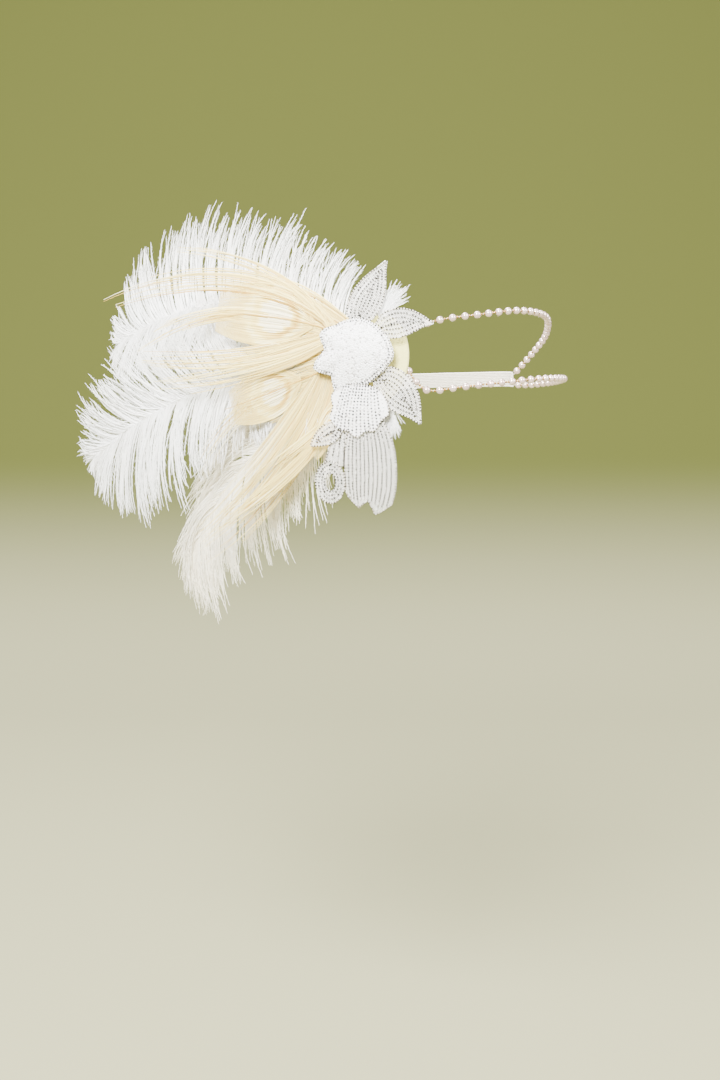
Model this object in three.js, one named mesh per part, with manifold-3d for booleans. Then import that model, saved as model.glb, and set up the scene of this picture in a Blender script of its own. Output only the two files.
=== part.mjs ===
// Feathered headband with two pearl strands and a beaded flower at the right temple.
// Millimetres, +Z up. The wearer faces -Y, so the wearer's right side is -X.
// The origin is the middle of the head opening, level with the lower strand at the brow.

import * as THREE from 'three';
import Module from 'manifold-3d';
import { mergeVertices } from 'three/addons/utils/BufferGeometryUtils.js';

const wasm = await Module();
wasm.setup();

// The head form that every piece is fitted to
const head = {
  halfLength: 99,
  halfBreadth: 78.5,
  crownRise: 115,
  widestLevel: -41,
  roundness: 2.2,
};

// Clearance between two pieces that touch on the real object, and under what lies on the head
const gap = 0.3;
const headClearance = 0.2;

// Pearls and their thread
const pearlDiameter = 3.6;
const pearlPitch = 6.4;
const threadDiameter = 1.1;
const pearlSides = 10;

// The strands meet the elastic's end behind the wearer's left temple, one above the other
const meetingTurn = 98;
const meetingLevel = -0.161;
const strandEndTurn = meetingTurn - 0.4;
const strandSpread = 0.025;

// Strand routes over the head: turn in degrees from the brow, wearer's left positive, and level as
// a share of the crown's rise
const upperStrandRoute = [
  { turn: -37, level: 0.195 },
  { turn: -29, level: 0.238 },
  { turn: -19, level: 0.268 },
  { turn: 0, level: 0.283 },
  { turn: 18, level: 0.282 },
  { turn: 36, level: 0.252 },
  { turn: 54, level: 0.196 },
  { turn: 72, level: 0.091 },
  { turn: 86, level: -0.017 },
  { turn: strandEndTurn, level: meetingLevel + strandSpread },
];
const lowerStrandRoute = [
  { turn: -33.4, level: 0.09 },
  { turn: -31.6, level: 0.052 },
  { turn: -29, level: 0.012 },
  { turn: -25, level: -0.014 },
  { turn: -14, level: 0 },
  { turn: 0, level: 0.007 },
  { turn: 20, level: 0 },
  { turn: 38, level: -0.028 },
  { turn: 54, level: -0.064 },
  { turn: 74, level: -0.123 },
  { turn: 88, level: -0.165 },
  { turn: strandEndTurn, level: meetingLevel - strandSpread },
];

// Flower frame at the temple: u runs toward the brow, v up, and lift away from the head
const flowerTurn = -49;
const flowerLevel = 0.122 * head.crownRise;
const flowerLean = 16;

// How the beaded flower follows the head, and how gently the feathers follow it
const flowerDrape = {
  front: 0.94 * head.halfLength,
  rear: 4.55 * head.halfLength,
  up: 0.91 * head.halfLength,
  down: 2.63 * head.halfLength,
};
const feathersDrape = {
  front: 4.55 * head.halfLength,
  rear: 4.55 * head.halfLength,
  up: 4.55 * head.halfLength,
  down: 2.63 * head.halfLength,
};

// The flower's places and sizes in its own plane are shares of its dense centre's reach
const flowerReach = 18;
const petalLength = 2.444 * flowerReach;
const petalWidth = 1.444 * flowerReach;

// Felt oval behind the flower
const feltThickness = 2;
const felt = {
  u: 0.556 * flowerReach,
  v: -0.167 * flowerReach,
  halfWidth: 0.861 * flowerReach,
  halfHeight: 1.222 * flowerReach,
  lift: headClearance + pearlDiameter + gap,
};
const feltTop = felt.lift + feltThickness;
const feltSpokes = 24;
const feltRings = 2;

// Elastic band that closes the loop behind the head, and tucks under the felt: lifts are shares
// of the lift there
const elasticWidth = 8;
const elasticThickness = 1.2;
const elasticSteps = 22;
const tuckLift = felt.lift - elasticThickness - 3 * gap;
const elasticRoute = [
  { turn: meetingTurn, level: meetingLevel, lift: 0.45 },
  { turn: 108, level: -0.178, lift: 0.2 },
  { turn: 150, level: -0.235, lift: 0.1 },
  { turn: 185, level: -0.252, lift: 0.1 },
  { turn: 220, level: -0.217, lift: 0.1 },
  { turn: 258, level: -0.096, lift: 0.1 },
  { turn: 284, level: 0.035, lift: 0.25 },
  { turn: 301, level: 0.104, lift: 1 },
];

// Quills lie side by side on the felt
const quillDiameter = 1.8;
const quillTipDiameter = 0.8;
const quillSpacing = 3;
const quillRootU = 2;
const quillTopV = 8;
const quillLift = feltTop + gap + quillDiameter / 2;

// Past the felt's edge each feather settles into its own layer, over this distance
const edgeMargin = 2;
const layerRun = 12;
const layerGap = 0.45;
const plumeLockThickness = 2;
const eyeThickness = 1.4;
const herlThickness = 1.4;
const backDrop = 4.5;

// Layers of feathers, lowest first, each with its slope away from the head
const backLift = quillLift - backDrop;
const middleLift = backLift + plumeLockThickness + layerGap;
const lowerEyeLift = middleLift + (plumeLockThickness + eyeThickness) / 2 + layerGap;
const upperEyeLift = lowerEyeLift + eyeThickness + layerGap;
const frontLift = upperEyeLift + eyeThickness + layerGap;
const layers = {
  back: { lift: backLift, slope: -0.22 },
  middle: { lift: middleLift, slope: -0.09 },
  lowerEye: { lift: lowerEyeLift, slope: -0.02 },
  upperEye: { lift: upperEyeLift, slope: 0.03 },
  front: { lift: frontLift, slope: 0.01 },
};

// Beaded flower over the feathers: outer petals tuck under the centre, the drop under the lower one
const petalThickness = 1.4;
const flowerStand = 2;
const tuckRoom = 0.8;
const centreLift = upperEyeLift + eyeThickness / 2 + flowerStand;
const petalLift = centreLift - petalThickness - tuckRoom;
const dropLift = frontLift + eyeThickness / 2 + gap + 0.2;
const lowerCentreLift = dropLift + petalThickness + gap;
const centreRise = 5.2;
const lowerCentreRise = 3.6;

const radians = (degrees) => (degrees * Math.PI) / 180;
const lerp = THREE.MathUtils.lerp;
const smooth = (share) => THREE.MathUtils.smoothstep(share, 0, 1);

// Places on the head and in the flower's frame

function headScale(level, lift) {
  const share = Math.abs((level - head.widestLevel) / (head.crownRise + lift));
  return (1 - share ** head.roundness) ** (1 / head.roundness);
}

function onHead(turn, level, lift) {
  const size = headScale(level, lift);
  return new THREE.Vector3(
    (head.halfBreadth + lift) * size * Math.sin(radians(turn)),
    -(head.halfLength + lift) * size * Math.cos(radians(turn)),
    level,
  );
}

const flowerBase = onHead(flowerTurn, flowerLevel, 0);
const alongU = new THREE.Vector3(
  head.halfBreadth * Math.cos(radians(flowerTurn)),
  head.halfLength * Math.sin(radians(flowerTurn)),
  0,
).normalize();
const outward = new THREE.Vector3(alongU.y, -alongU.x, 0)
  .multiplyScalar(Math.cos(radians(flowerLean)))
  .add(new THREE.Vector3(0, 0, Math.sin(radians(flowerLean))));
const alongV = new THREE.Vector3().crossVectors(outward, alongU);

function place(u, v, lift, drape) {
  const acrossRadius = u > 0 ? drape.front : drape.rear;
  const uprightRadius = v > 0 ? drape.up : drape.down;
  const fall = (u * u) / (2 * acrossRadius) + (v * v) / (2 * uprightRadius);
  return flowerBase.clone()
    .addScaledVector(alongU, u)
    .addScaledVector(alongV, v)
    .addScaledVector(outward, lift - fall);
}

// Closed bodies

function solid(points, faces) {
  const geometry = new THREE.BufferGeometry();
  geometry.setAttribute('position', new THREE.Float32BufferAttribute(
    points.flatMap((point) => [point.x, point.y, point.z]), 3,
  ));
  let volume = 0;
  for (const [a, b, c] of faces) {
    volume += points[a].dot(new THREE.Vector3().crossVectors(points[b], points[c]));
  }
  const outwardFaces = volume > 0 ? faces : faces.map(([a, b, c]) => [a, c, b]);
  geometry.setIndex(outwardFaces.flat());
  return geometry;
}

// A body through rings of points, closed by a fan at each end
function loft(rings) {
  const sides = rings[0].length;
  const points = rings.flat();
  const faces = [];
  for (let row = 0; row + 1 < rings.length; row += 1) {
    for (let side = 0; side < sides; side += 1) {
      const next = (side + 1) % sides;
      const a = row * sides + side;
      const b = row * sides + next;
      faces.push([a, b, b + sides], [a, b + sides, a + sides]);
    }
  }
  const last = (rings.length - 1) * sides;
  for (let side = 1; side + 1 < sides; side += 1) {
    faces.push([0, side + 1, side], [last, last + side, last + side + 1]);
  }
  return solid(points, faces);
}

// A round plate of rings and spokes, with its own top and underside
function disc(spokes, rings, topAt, undersideAt) {
  const points = [topAt(0, 0), undersideAt(0, 0)];
  const faces = [];
  const at = (layer, ring, spoke) => 2 + (layer * rings + ring) * spokes + (spoke % spokes);
  for (const pointAt of [topAt, undersideAt]) {
    for (let ring = 1; ring <= rings; ring += 1) {
      for (let spoke = 0; spoke < spokes; spoke += 1) {
        points.push(pointAt(ring / rings, (spoke / spokes) * 2 * Math.PI));
      }
    }
  }
  for (let spoke = 0; spoke < spokes; spoke += 1) {
    faces.push([0, at(0, 0, spoke), at(0, 0, spoke + 1)]);
    faces.push([1, at(1, 0, spoke + 1), at(1, 0, spoke)]);
    for (let ring = 0; ring + 1 < rings; ring += 1) {
      const [a, b] = [at(0, ring, spoke), at(0, ring, spoke + 1)];
      const [c, d] = [at(0, ring + 1, spoke), at(0, ring + 1, spoke + 1)];
      const [e, f] = [at(1, ring, spoke), at(1, ring, spoke + 1)];
      const [g, h] = [at(1, ring + 1, spoke), at(1, ring + 1, spoke + 1)];
      faces.push([a, c, d], [a, d, b], [e, h, g], [e, f, h]);
    }
    const [a, b] = [at(0, rings - 1, spoke), at(0, rings - 1, spoke + 1)];
    const [c, d] = [at(1, rings - 1, spoke), at(1, rings - 1, spoke + 1)];
    faces.push([a, c, d], [a, d, b]);
  }
  return solid(points, faces);
}

function toBody(geometry) {
  const bare = geometry.clone();
  bare.deleteAttribute('normal');
  bare.deleteAttribute('uv');
  const merged = mergeVertices(bare, 1e-5);
  return new wasm.Manifold(new wasm.Mesh({
    numProp: 3,
    vertProperties: new Float32Array(merged.attributes.position.array),
    triVerts: new Uint32Array(merged.index.array),
  }));
}

function join(geometries) {
  let body = toBody(geometries[0]);
  for (const geometry of geometries.slice(1)) {
    body = body.add(toBody(geometry));
  }
  const mesh = body.getMesh();
  const joined = new THREE.BufferGeometry();
  joined.setAttribute('position', new THREE.Float32BufferAttribute(mesh.vertProperties, 3));
  joined.setIndex([...mesh.triVerts]);
  return joined;
}

// Pearl strand: a thread that swells into a bead at every pitch

const beadProfile = [
  { along: -0.47, width: 0.34 },
  { along: -0.24, width: 0.93 },
  { along: 0.24, width: 0.93 },
  { along: 0.47, width: 0.34 },
];

function pearlStrand(route) {
  const lift = headClearance + pearlDiameter / 2;
  const curve = new THREE.CatmullRomCurve3(
    route.map(({ turn, level }) => onHead(turn, level * head.crownRise, lift)), false, 'centripetal',
  );
  curve.arcLengthDivisions = 800;
  const length = curve.getLength();
  const count = Math.floor(length / pearlPitch);
  const spare = (length - count * pearlPitch) / 2;
  const sections = [{ at: 0, radius: threadDiameter / 2 }];
  for (let bead = 0; bead < count; bead += 1) {
    const middle = spare + (bead + 0.5) * pearlPitch;
    for (const { along, width } of beadProfile) {
      sections.push({
        at: middle + along * pearlDiameter,
        radius: Math.max((width * pearlDiameter) / 2, threadDiameter / 2),
      });
    }
  }
  sections.push({ at: length, radius: threadDiameter / 2 });
  const up = new THREE.Vector3(0, 0, 1);
  return loft(sections.map(({ at, radius }) => {
    const centre = curve.getPointAt(at / length);
    const tangent = curve.getTangentAt(at / length);
    const side = new THREE.Vector3().crossVectors(tangent, up).normalize();
    const rise = new THREE.Vector3().crossVectors(side, tangent);
    return Array.from({ length: pearlSides }, (_, index) => {
      const angle = (index / pearlSides) * 2 * Math.PI;
      return centre.clone()
        .addScaledVector(side, radius * Math.cos(angle))
        .addScaledVector(rise, radius * Math.sin(angle));
    });
  }));
}

// Elastic: a flat band over the back of the head

function elasticBand() {
  const curve = new THREE.CatmullRomCurve3(
    elasticRoute.map(({ turn, level, lift }) => onHead(
      turn, level * head.crownRise, lift * tuckLift + elasticThickness / 2,
    )),
    false,
    'centripetal',
  );
  const up = new THREE.Vector3(0, 0, 1);
  const rings = [];
  for (let step = 0; step <= elasticSteps; step += 1) {
    const centre = curve.getPointAt(step / elasticSteps);
    const tangent = curve.getTangentAt(step / elasticSteps);
    const side = new THREE.Vector3().crossVectors(tangent, up).normalize();
    const rise = new THREE.Vector3().crossVectors(side, tangent);
    rings.push([[-1, -1], [1, -1], [1, 1], [-1, 1]].map(([across, height]) => centre.clone()
      .addScaledVector(side, (across * elasticThickness) / 2)
      .addScaledVector(rise, (height * elasticWidth) / 2)));
  }
  return loft(rings);
}

// Felt oval

function feltOval() {
  const at = (lift) => (reach, angle) => place(
    felt.u + felt.halfWidth * reach * Math.cos(angle),
    felt.v + felt.halfHeight * reach * Math.sin(angle),
    lift,
    flowerDrape,
  );
  return disc(feltSpokes, feltRings, at(feltTop), at(felt.lift));
}

// Distance past the felt's edge, toward which each feather finds its own layer
function pastFelt(u, v) {
  const reach = Math.hypot((u - felt.u) / felt.halfWidth, (v - felt.v) / felt.halfHeight);
  return Math.max(0, (reach - 1) * felt.halfWidth - edgeMargin);
}

function layerLift(layer, u, v) {
  const past = pastFelt(u, v);
  const settled = lerp(quillLift, layer.lift, smooth(past / layerRun));
  return settled + layer.slope * Math.max(0, past - layerRun);
}

// A walk in the flower's plane whose heading turns as it goes, with its stations crowded to the root

function walk(start, steps, crowding = 1) {
  const stations = [{ share: 0, u: start.u, v: start.v, heading: start.heading }];
  for (let step = 1; step <= steps; step += 1) {
    const from = stations[step - 1];
    const share = (step / steps) ** crowding;
    const middle = (share + from.share) / 2;
    const heading = start.heading + start.turn * middle ** (start.late ?? 1);
    const stride = start.length * (share - from.share);
    stations.push({
      share,
      u: from.u + stride * Math.cos(radians(heading)),
      v: from.v + stride * Math.sin(radians(heading)),
      heading,
    });
  }
  return stations;
}

// A flat tapering strip along a walk, in its feather's layer

const rootCrowding = 1.5;
const quillSection = 4;
const lockSection = 4;

function strip(stations, layer, widthAt, thicknessAt, sides) {
  return loft(stations.map(({ share, u, v, heading }) => {
    const halfWidth = widthAt(share) / 2;
    const halfThickness = thicknessAt(share) / 2;
    return Array.from({ length: sides }, (_, corner) => {
      const angle = (corner / sides) * 2 * Math.PI;
      const across = halfWidth * Math.cos(angle);
      const atU = u - across * Math.sin(radians(heading));
      const atV = v + across * Math.cos(radians(heading));
      const lift = layerLift(layer, atU, atV) + halfThickness * Math.sin(angle);
      return place(atU, atV, lift, feathersDrape);
    });
  }));
}

// The spray's lengths and widths are shares of its longest plume

const sprayLength = 184;
const barbLength = 0.359 * sprayLength;
const lockWidth = 0.082 * sprayLength;
const herlLength = 0.87 * sprayLength;
const herlWidth = 0.049 * sprayLength;
const eyeWidth = 0.168 * sprayLength;

// Ostrich plume: a quill with drooping locks of barbs on both sides

const plumeLockSteps = 3;
const plumeLockTip = 0.4;
const plumeSteps = 10;
const lockShape = [0.2, 1, 0.86, 0.14];

function shapeAt(shape, share) {
  const spot = share * (shape.length - 1);
  const low = Math.min(Math.floor(spot), shape.length - 2);
  return lerp(shape[low], shape[low + 1], spot - low);
}

function quill(stations, layer) {
  const taper = (share) => lerp(quillDiameter, quillTipDiameter, share);
  return strip(stations, layer, taper, taper, quillSection);
}

function stationAt(stations, share) {
  const next = stations.findIndex((station) => station.share >= share);
  const [a, b] = [stations[Math.max(next, 1) - 1], stations[Math.max(next, 1)]];
  const between = (share - a.share) / (b.share - a.share);
  return { u: lerp(a.u, b.u, between), v: lerp(a.v, b.v, between), heading: b.heading };
}

function lockRow(stations, row) {
  const locks = [];
  for (let index = 0; index < row.count; index += 1) {
    const part = row.count > 1 ? index / (row.count - 1) : 0;
    const root = stationAt(stations, lerp(row.from, row.to, part));
    locks.push({
      u: root.u,
      v: root.v,
      heading: root.heading + lerp(row.angle, row.endAngle, part),
      turn: row.curl,
      length: barbLength * lerp(row.length, row.endLength, part ** row.fullness),
      width: lockWidth * row.width,
    });
  }
  return locks;
}

function plume(spec) {
  const stations = walk(spec, plumeSteps, rootCrowding);
  const bodies = [quill(stations, spec.layer)];
  for (const row of spec.rows) {
    for (const lock of lockRow(stations, row)) {
      const width = (share) => lock.width * shapeAt(lockShape, share);
      const thickness = (share) => plumeLockThickness * lerp(1, plumeLockTip, share);
      bodies.push(strip(walk(lock, plumeLockSteps), spec.layer, width, thickness, lockSection));
    }
  }
  return join(bodies);
}

const rootV = (order) => quillTopV - order * quillSpacing;

// Rows of locks: from and to along the quill, angles off it in degrees, lengths and widths as shares
// of the longest barb and the broadest lock
const plumes = {
  ostrich_plume_upper: {
    u: quillRootU,
    v: rootV(0),
    heading: 157,
    turn: 46,
    late: 0.9,
    length: 0.989 * sprayLength,
    layer: layers.back,
    rows: [
      { from: 0.13, to: 0.64, count: 6, angle: -64, endAngle: -64, curl: -40, length: 0.545,
        endLength: 0.879, fullness: 0.8, width: 1 },
      { from: 0.74, to: 0.985, count: 3, angle: -60, endAngle: -22, curl: -40, length: 0.818,
        endLength: 0.394, fullness: 1.4, width: 0.933 },
      { from: 0.36, to: 0.94, count: 3, angle: 42, endAngle: 26, curl: 38, length: 0.515,
        endLength: 0.364, fullness: 1, width: 1 },
    ],
  },
  ostrich_plume_side: {
    u: quillRootU,
    v: rootV(2),
    heading: 193,
    turn: 19,
    late: 2,
    length: sprayLength,
    layer: layers.middle,
    rows: [
      { from: 0.26, to: 0.96, count: 7, angle: -46, endAngle: -36, curl: -40, length: 0.606,
        endLength: 0.576, fullness: 1, width: 0.933 },
      { from: 0.26, to: 0.7, count: 4, angle: 42, endAngle: 44, curl: 42, length: 0.667,
        endLength: 0.879, fullness: 1, width: 1 },
      { from: 0.8, to: 0.985, count: 3, angle: 40, endAngle: 8, curl: 38, length: 0.697,
        endLength: 0.273, fullness: 1, width: 0.867 },
    ],
  },
  ostrich_plume_lower: {
    u: quillRootU,
    v: rootV(4),
    heading: 225,
    turn: 22,
    late: 3,
    length: 0.837 * sprayLength,
    layer: layers.back,
    rows: [
      { from: 0.26, to: 0.93, count: 5, angle: -60, endAngle: -34, curl: 66, length: 1,
        endLength: 0.424, fullness: 1, width: 1 },
      { from: 0.18, to: 0.97, count: 6, angle: 34, endAngle: 16, curl: 30, length: 0.909,
        endLength: 0.364, fullness: 1.3, width: 1 },
    ],
  },
};

// Peacock feather: a short quill into a flat eye, with long herls that sweep past it

const eyeShape = [0.12, 0.62, 0.9, 1, 0.97, 0.8, 0.5, 0.1];
const herlShape = [0.35, 0.95, 1, 0.85, 0.6, 0.25];
const eyeSteps = 7;
const herlSteps = 5;
const herlTip = 0.5;

function peacockFeather(spec) {
  const stations = walk(spec, eyeSteps, rootCrowding);
  const bodies = [quill(stations, spec.layer)];
  const start = stationAt(stations, spec.eye.from);
  const eye = walk({ ...start, turn: spec.turn / 2, length: spec.eye.length }, eyeSteps);
  const acrossEye = (share) => spec.eye.width * shapeAt(eyeShape, share);
  bodies.push(strip(eye, spec.layer, acrossEye, () => eyeThickness, lockSection));
  for (const herl of spec.herls) {
    const root = stationAt(stations, herl.from);
    const path = walk({ ...root, ...herl, length: herlLength * herl.length }, herlSteps);
    const width = (share) => herlWidth * herl.width * shapeAt(herlShape, share);
    const thickness = (share) => herlThickness * lerp(1, herlTip, share);
    bodies.push(strip(path, spec.layer, width, thickness, lockSection));
  }
  return join(bodies);
}

// Herls: start along the quill, heading in degrees, how late the heading turns, and length and width
// as shares of the longest and broadest
const peacocks = {
  peacock_feather_upper: {
    u: quillRootU,
    v: rootV(1),
    heading: 163,
    turn: 24,
    length: 0.478 * sprayLength,
    layer: layers.upperEye,
    eye: { from: 0.3, length: 0.326 * sprayLength, width: eyeWidth },
    herls: [
      { from: 0.16, heading: 121, turn: 81, late: 0.43, length: 1, width: 1 },
      { from: 0.2, heading: 118, turn: 64, late: 0.5, length: 0.7, width: 0.444 },
      { from: 0.6, heading: 168, turn: 44, late: 0.7, length: 0.55, width: 0.667 },
      { from: 0.16, heading: 214, turn: -38, late: 0.5, length: 0.762, width: 0.889 },
      { from: 0.14, heading: 218, turn: -34, late: 0.5, length: 0.725, width: 1 },
    ],
  },
  peacock_feather_middle: {
    u: quillRootU,
    v: rootV(3),
    heading: 208,
    turn: -10,
    length: 0.435 * sprayLength,
    layer: layers.lowerEye,
    eye: { from: 0.42, length: 0.245 * sprayLength, width: 0.806 * eyeWidth },
    herls: [
      { from: 0.2, heading: 286, turn: -76, late: 0.4, length: 0.912, width: 1 },
      { from: 0.24, heading: 268, turn: -56, late: 0.5, length: 0.825, width: 1 },
      { from: 0.3, heading: 250, turn: -34, late: 0.6, length: 0.738, width: 0.889 },
      { from: 0.34, heading: 194, turn: 50, late: 1, length: 0.55, width: 0.667 },
    ],
  },
  peacock_feather_lower: {
    u: quillRootU,
    v: rootV(5),
    heading: 254,
    turn: -18,
    length: 0.283 * sprayLength,
    layer: layers.front,
    eye: { from: 0.32, length: 0.185 * sprayLength, width: 0.355 * eyeWidth },
    herls: [
      { from: 0.6, heading: 246, turn: -44, late: 0.6, length: 0.55, width: 0.556 },
      { from: 0.75, heading: 234, turn: -26, late: 0.6, length: 0.55, width: 0.556 },
      { from: 0.5, heading: 228, turn: -22, late: 0.8, length: 0.388, width: 0.444 },
    ],
  },
};

// White marabou tufts that show between the petals

const tuftThickness = 1.6;
const tuftLift = petalLift - gap - tuftThickness / 2;
const tuftSteps = 3;
const tuftTip = 0.5;
const tuftLastLength = 0.86;

function tuft(spec) {
  const bodies = [];
  for (let index = 0; index < spec.count; index += 1) {
    const part = index / (spec.count - 1);
    const lock = {
      u: spec.u * flowerReach,
      v: spec.v * flowerReach,
      length: spec.length * flowerReach * lerp(1, tuftLastLength, part),
      turn: spec.curl,
      heading: lerp(spec.heading, spec.endHeading, part),
    };
    const rings = walk(lock, tuftSteps).map(({ share, u, v, heading }) => {
      const halfWidth = (spec.width * flowerReach * shapeAt(lockShape, share)) / 2;
      const halfThickness = (tuftThickness / 2) * lerp(1, tuftTip, share);
      return Array.from({ length: lockSection }, (_, corner) => {
        const angle = (corner / lockSection) * 2 * Math.PI;
        const across = halfWidth * Math.cos(angle);
        const atU = u - across * Math.sin(radians(heading));
        const atV = v + across * Math.cos(radians(heading));
        return place(atU, atV, tuftLift + halfThickness * Math.sin(angle), flowerDrape);
      });
    });
    bodies.push(loft(rings));
  }
  return join(bodies);
}

const tufts = {
  marabou_tuft_brow: {
    u: 0.556, v: 1.083, heading: 78, endHeading: 34, curl: 8, count: 3, length: 1.056, width: 0.444,
  },
  marabou_tuft_cheek: {
    u: 1.028, v: -1.333, heading: 274, endHeading: 306, curl: -8, count: 3, length: 0.944, width: 0.389,
  },
};

// Petals of beaded net: plates along a walk, cupped across and lifted along

const petalShapes = {
  leaf: [0.42, 0.84, 0.98, 1, 0.93, 0.78, 0.55, 0.28, 0.05],
  bell: [0.62, 0.86, 0.97, 1, 1, 0.96, 0.88, 0.7, 0.4],
  bud: [0.4, 0.75, 0.95, 1, 0.97, 0.85, 0.66, 0.4, 0.1],
};
const petalSteps = 6;
const petalAcross = 4;

function petal(spec) {
  const start = {
    ...spec, u: spec.u * flowerReach, v: spec.v * flowerReach, length: spec.length * petalLength,
  };
  const stations = walk(start, petalSteps);
  const shape = petalShapes[spec.shape];
  const columns = petalAcross + 1;
  const points = [];
  for (const layer of [petalThickness, 0]) {
    stations.forEach(({ u, v, heading }, row) => {
      const share = row / petalSteps;
      for (let column = 0; column <= petalAcross; column += 1) {
        const side = (column / petalAcross) * 2 - 1;
        const across = (side * spec.width * petalWidth * shapeAt(shape, share)) / 2;
        const rise = spec.rise * share * share + spec.cup * side * side * share;
        points.push(place(
          u - across * Math.sin(radians(heading)),
          v + across * Math.cos(radians(heading)),
          spec.lift + rise * petalThickness + layer,
          flowerDrape,
        ));
      }
    });
  }
  const under = columns * (petalSteps + 1);
  const faces = [];
  for (let row = 0; row < petalSteps; row += 1) {
    for (let column = 0; column < petalAcross; column += 1) {
      const a = row * columns + column;
      const c = a + columns;
      faces.push([a, c, c + 1], [a, c + 1, a + 1]);
      faces.push([under + a, under + c + 1, under + c], [under + a, under + a + 1, under + c + 1]);
    }
  }
  const rim = [];
  for (let column = 0; column < petalAcross; column += 1) {
    rim.push(column);
  }
  for (let row = 0; row < petalSteps; row += 1) {
    rim.push(row * columns + petalAcross);
  }
  for (let column = petalAcross; column > 0; column -= 1) {
    rim.push(petalSteps * columns + column);
  }
  for (let row = petalSteps; row > 0; row -= 1) {
    rim.push(row * columns);
  }
  rim.forEach((from, index) => {
    const to = rim[(index + 1) % rim.length];
    faces.push([from, to, under + to], [from, under + to, under + from]);
  });
  return solid(points, faces);
}

// Petals: root as shares of the flower's reach, heading in degrees, length and width as shares of the
// longest and broadest, rise and cup in thicknesses of net
const petals = {
  petal_crown: {
    u: 0, v: 0.722, heading: 80, turn: -6, length: 0.75, width: 0.692, shape: 'leaf',
    lift: petalLift, rise: 1.071, cup: 0.857,
  },
  petal_brow: {
    u: 0.622, v: 0.611, heading: 30, turn: -36, length: 0.602, width: 0.577, shape: 'leaf',
    lift: petalLift, rise: 0.429, cup: 0.571,
  },
  petal_cheek: {
    u: 0.778, v: -0.611, heading: -26, turn: -34, length: 0.705, width: 0.692, shape: 'leaf',
    lift: petalLift, rise: 0.571, cup: 0.571,
  },
  petal_drop: {
    u: 0.611, v: -1.778, heading: -77, turn: -22, length: 1, width: 1, shape: 'bell',
    lift: dropLift, rise: -1.429, cup: -1.143,
  },
  petal_rear_low: {
    u: -0.044, v: -2.056, heading: 206, turn: 14, length: 0.432, width: 0.385, shape: 'bud',
    lift: dropLift, rise: 0.429, cup: 0.071,
  },
};

// Scroll beside the drop petal: an oval ring open at its middle

const scroll = {
  spokes: 20, u: -0.35, v: -3.528, halfWidth: 0.444, halfHeight: 0.556, holeWidth: 0.144, holeHeight: 0.222,
};
const scrollLift = dropLift - 1;

function scrollLobe() {
  const { spokes } = scroll;
  const corners = [[1, 1], [0, 1], [0, 0], [1, 0]];
  const points = [];
  const faces = [];
  for (let spoke = 0; spoke < spokes; spoke += 1) {
    const angle = (spoke / spokes) * 2 * Math.PI;
    for (const [outer, top] of corners) {
      const reachU = outer ? scroll.halfWidth : scroll.holeWidth;
      const reachV = outer ? scroll.halfHeight : scroll.holeHeight;
      points.push(place(
        (scroll.u + reachU * Math.cos(angle)) * flowerReach,
        (scroll.v + reachV * Math.sin(angle)) * flowerReach,
        scrollLift + top * petalThickness,
        flowerDrape,
      ));
    }
    for (let corner = 0; corner < corners.length; corner += 1) {
      const nextCorner = (corner + 1) % corners.length;
      const a = spoke * corners.length + corner;
      const b = spoke * corners.length + nextCorner;
      const next = ((spoke + 1) % spokes) * corners.length;
      faces.push([a, b, next + nextCorner], [a, next + nextCorner, next + corner]);
    }
  }
  return solid(points, faces);
}

// Dense bead clusters: lobed domes whose reach comes from a table of directions and shares

const centre = {
  spokes: 24, u: 0.167, v: -0.056, reach: 1, lift: centreLift, rise: centreRise, edge: 1.4,
  lobes: [1, 0.93, 0.86, 0.86, 0.9, 0.97, 1.04, 1.22, 1.02, 1.3, 1.02, 1.16, 1.0, 0.9, 0.86, 0.9],
};
const lowerCentre = {
  spokes: 20, u: 0.411, v: -1.556, reach: 0.694, lift: lowerCentreLift, rise: lowerCentreRise, edge: 1.2,
  lobes: [1.22, 1.14, 0.92, 0.74, 0.7, 0.74, 0.96, 1.16, 1.18, 1.14, 0.98, 0.8, 0.74, 0.76, 0.9, 1.1],
};
const domeRings = 3;
const domePower = 2.4;
const pad = { spokes: 12, u: 0.722, v: -0.056, radius: 0.306, overlap: 0.6 };

function lobeAt(lobes, angle) {
  const spot = (angle / (2 * Math.PI)) * lobes.length;
  const low = Math.floor(spot) % lobes.length;
  return lerp(lobes[low], lobes[(low + 1) % lobes.length], spot - Math.floor(spot));
}

function beadCluster(spec) {
  const at = (reach, angle) => {
    const far = spec.reach * reach * lobeAt(spec.lobes, angle);
    const atU = spec.u + far * Math.cos(angle);
    const atV = spec.v + far * Math.sin(angle);
    return [atU * flowerReach, atV * flowerReach];
  };
  const top = (reach, angle) => {
    const dome = spec.edge + spec.rise * (1 - reach ** domePower);
    return place(...at(reach, angle), spec.lift + dome, flowerDrape);
  };
  const underside = (reach, angle) => place(...at(reach, angle), spec.lift, flowerDrape);
  return disc(spec.spokes, domeRings, top, underside);
}

// The pad carries the cluster on the felt, in front of the quills
function padUnderCentre() {
  const at = (lift) => (reach, angle) => place(
    (pad.u + pad.radius * reach * Math.cos(angle)) * flowerReach,
    (pad.v + pad.radius * reach * Math.sin(angle)) * flowerReach,
    lift,
    flowerDrape,
  );
  return disc(pad.spokes, 1, at(centreLift + pad.overlap), at(feltTop + gap));
}

// Materials

const material = (color, roughness, metalness = 0) => new THREE.MeshStandardMaterial({
  color, roughness, metalness, flatShading: true,
});
const pearl = material('#f4eeec', 0.25);
const elastic = material('#efeae0', 0.85);
const feltCloth = material('#e6e2bf', 0.95);
const ostrich = material('#f6f4f0', 0.9);
const creamOstrich = material('#efe8da', 0.9);
const peacock = material('#e3d8b8', 0.7);
const beadedNet = material('#e4e2dc', 0.35);
const beads = material('#f2f1ee', 0.2);

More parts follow.
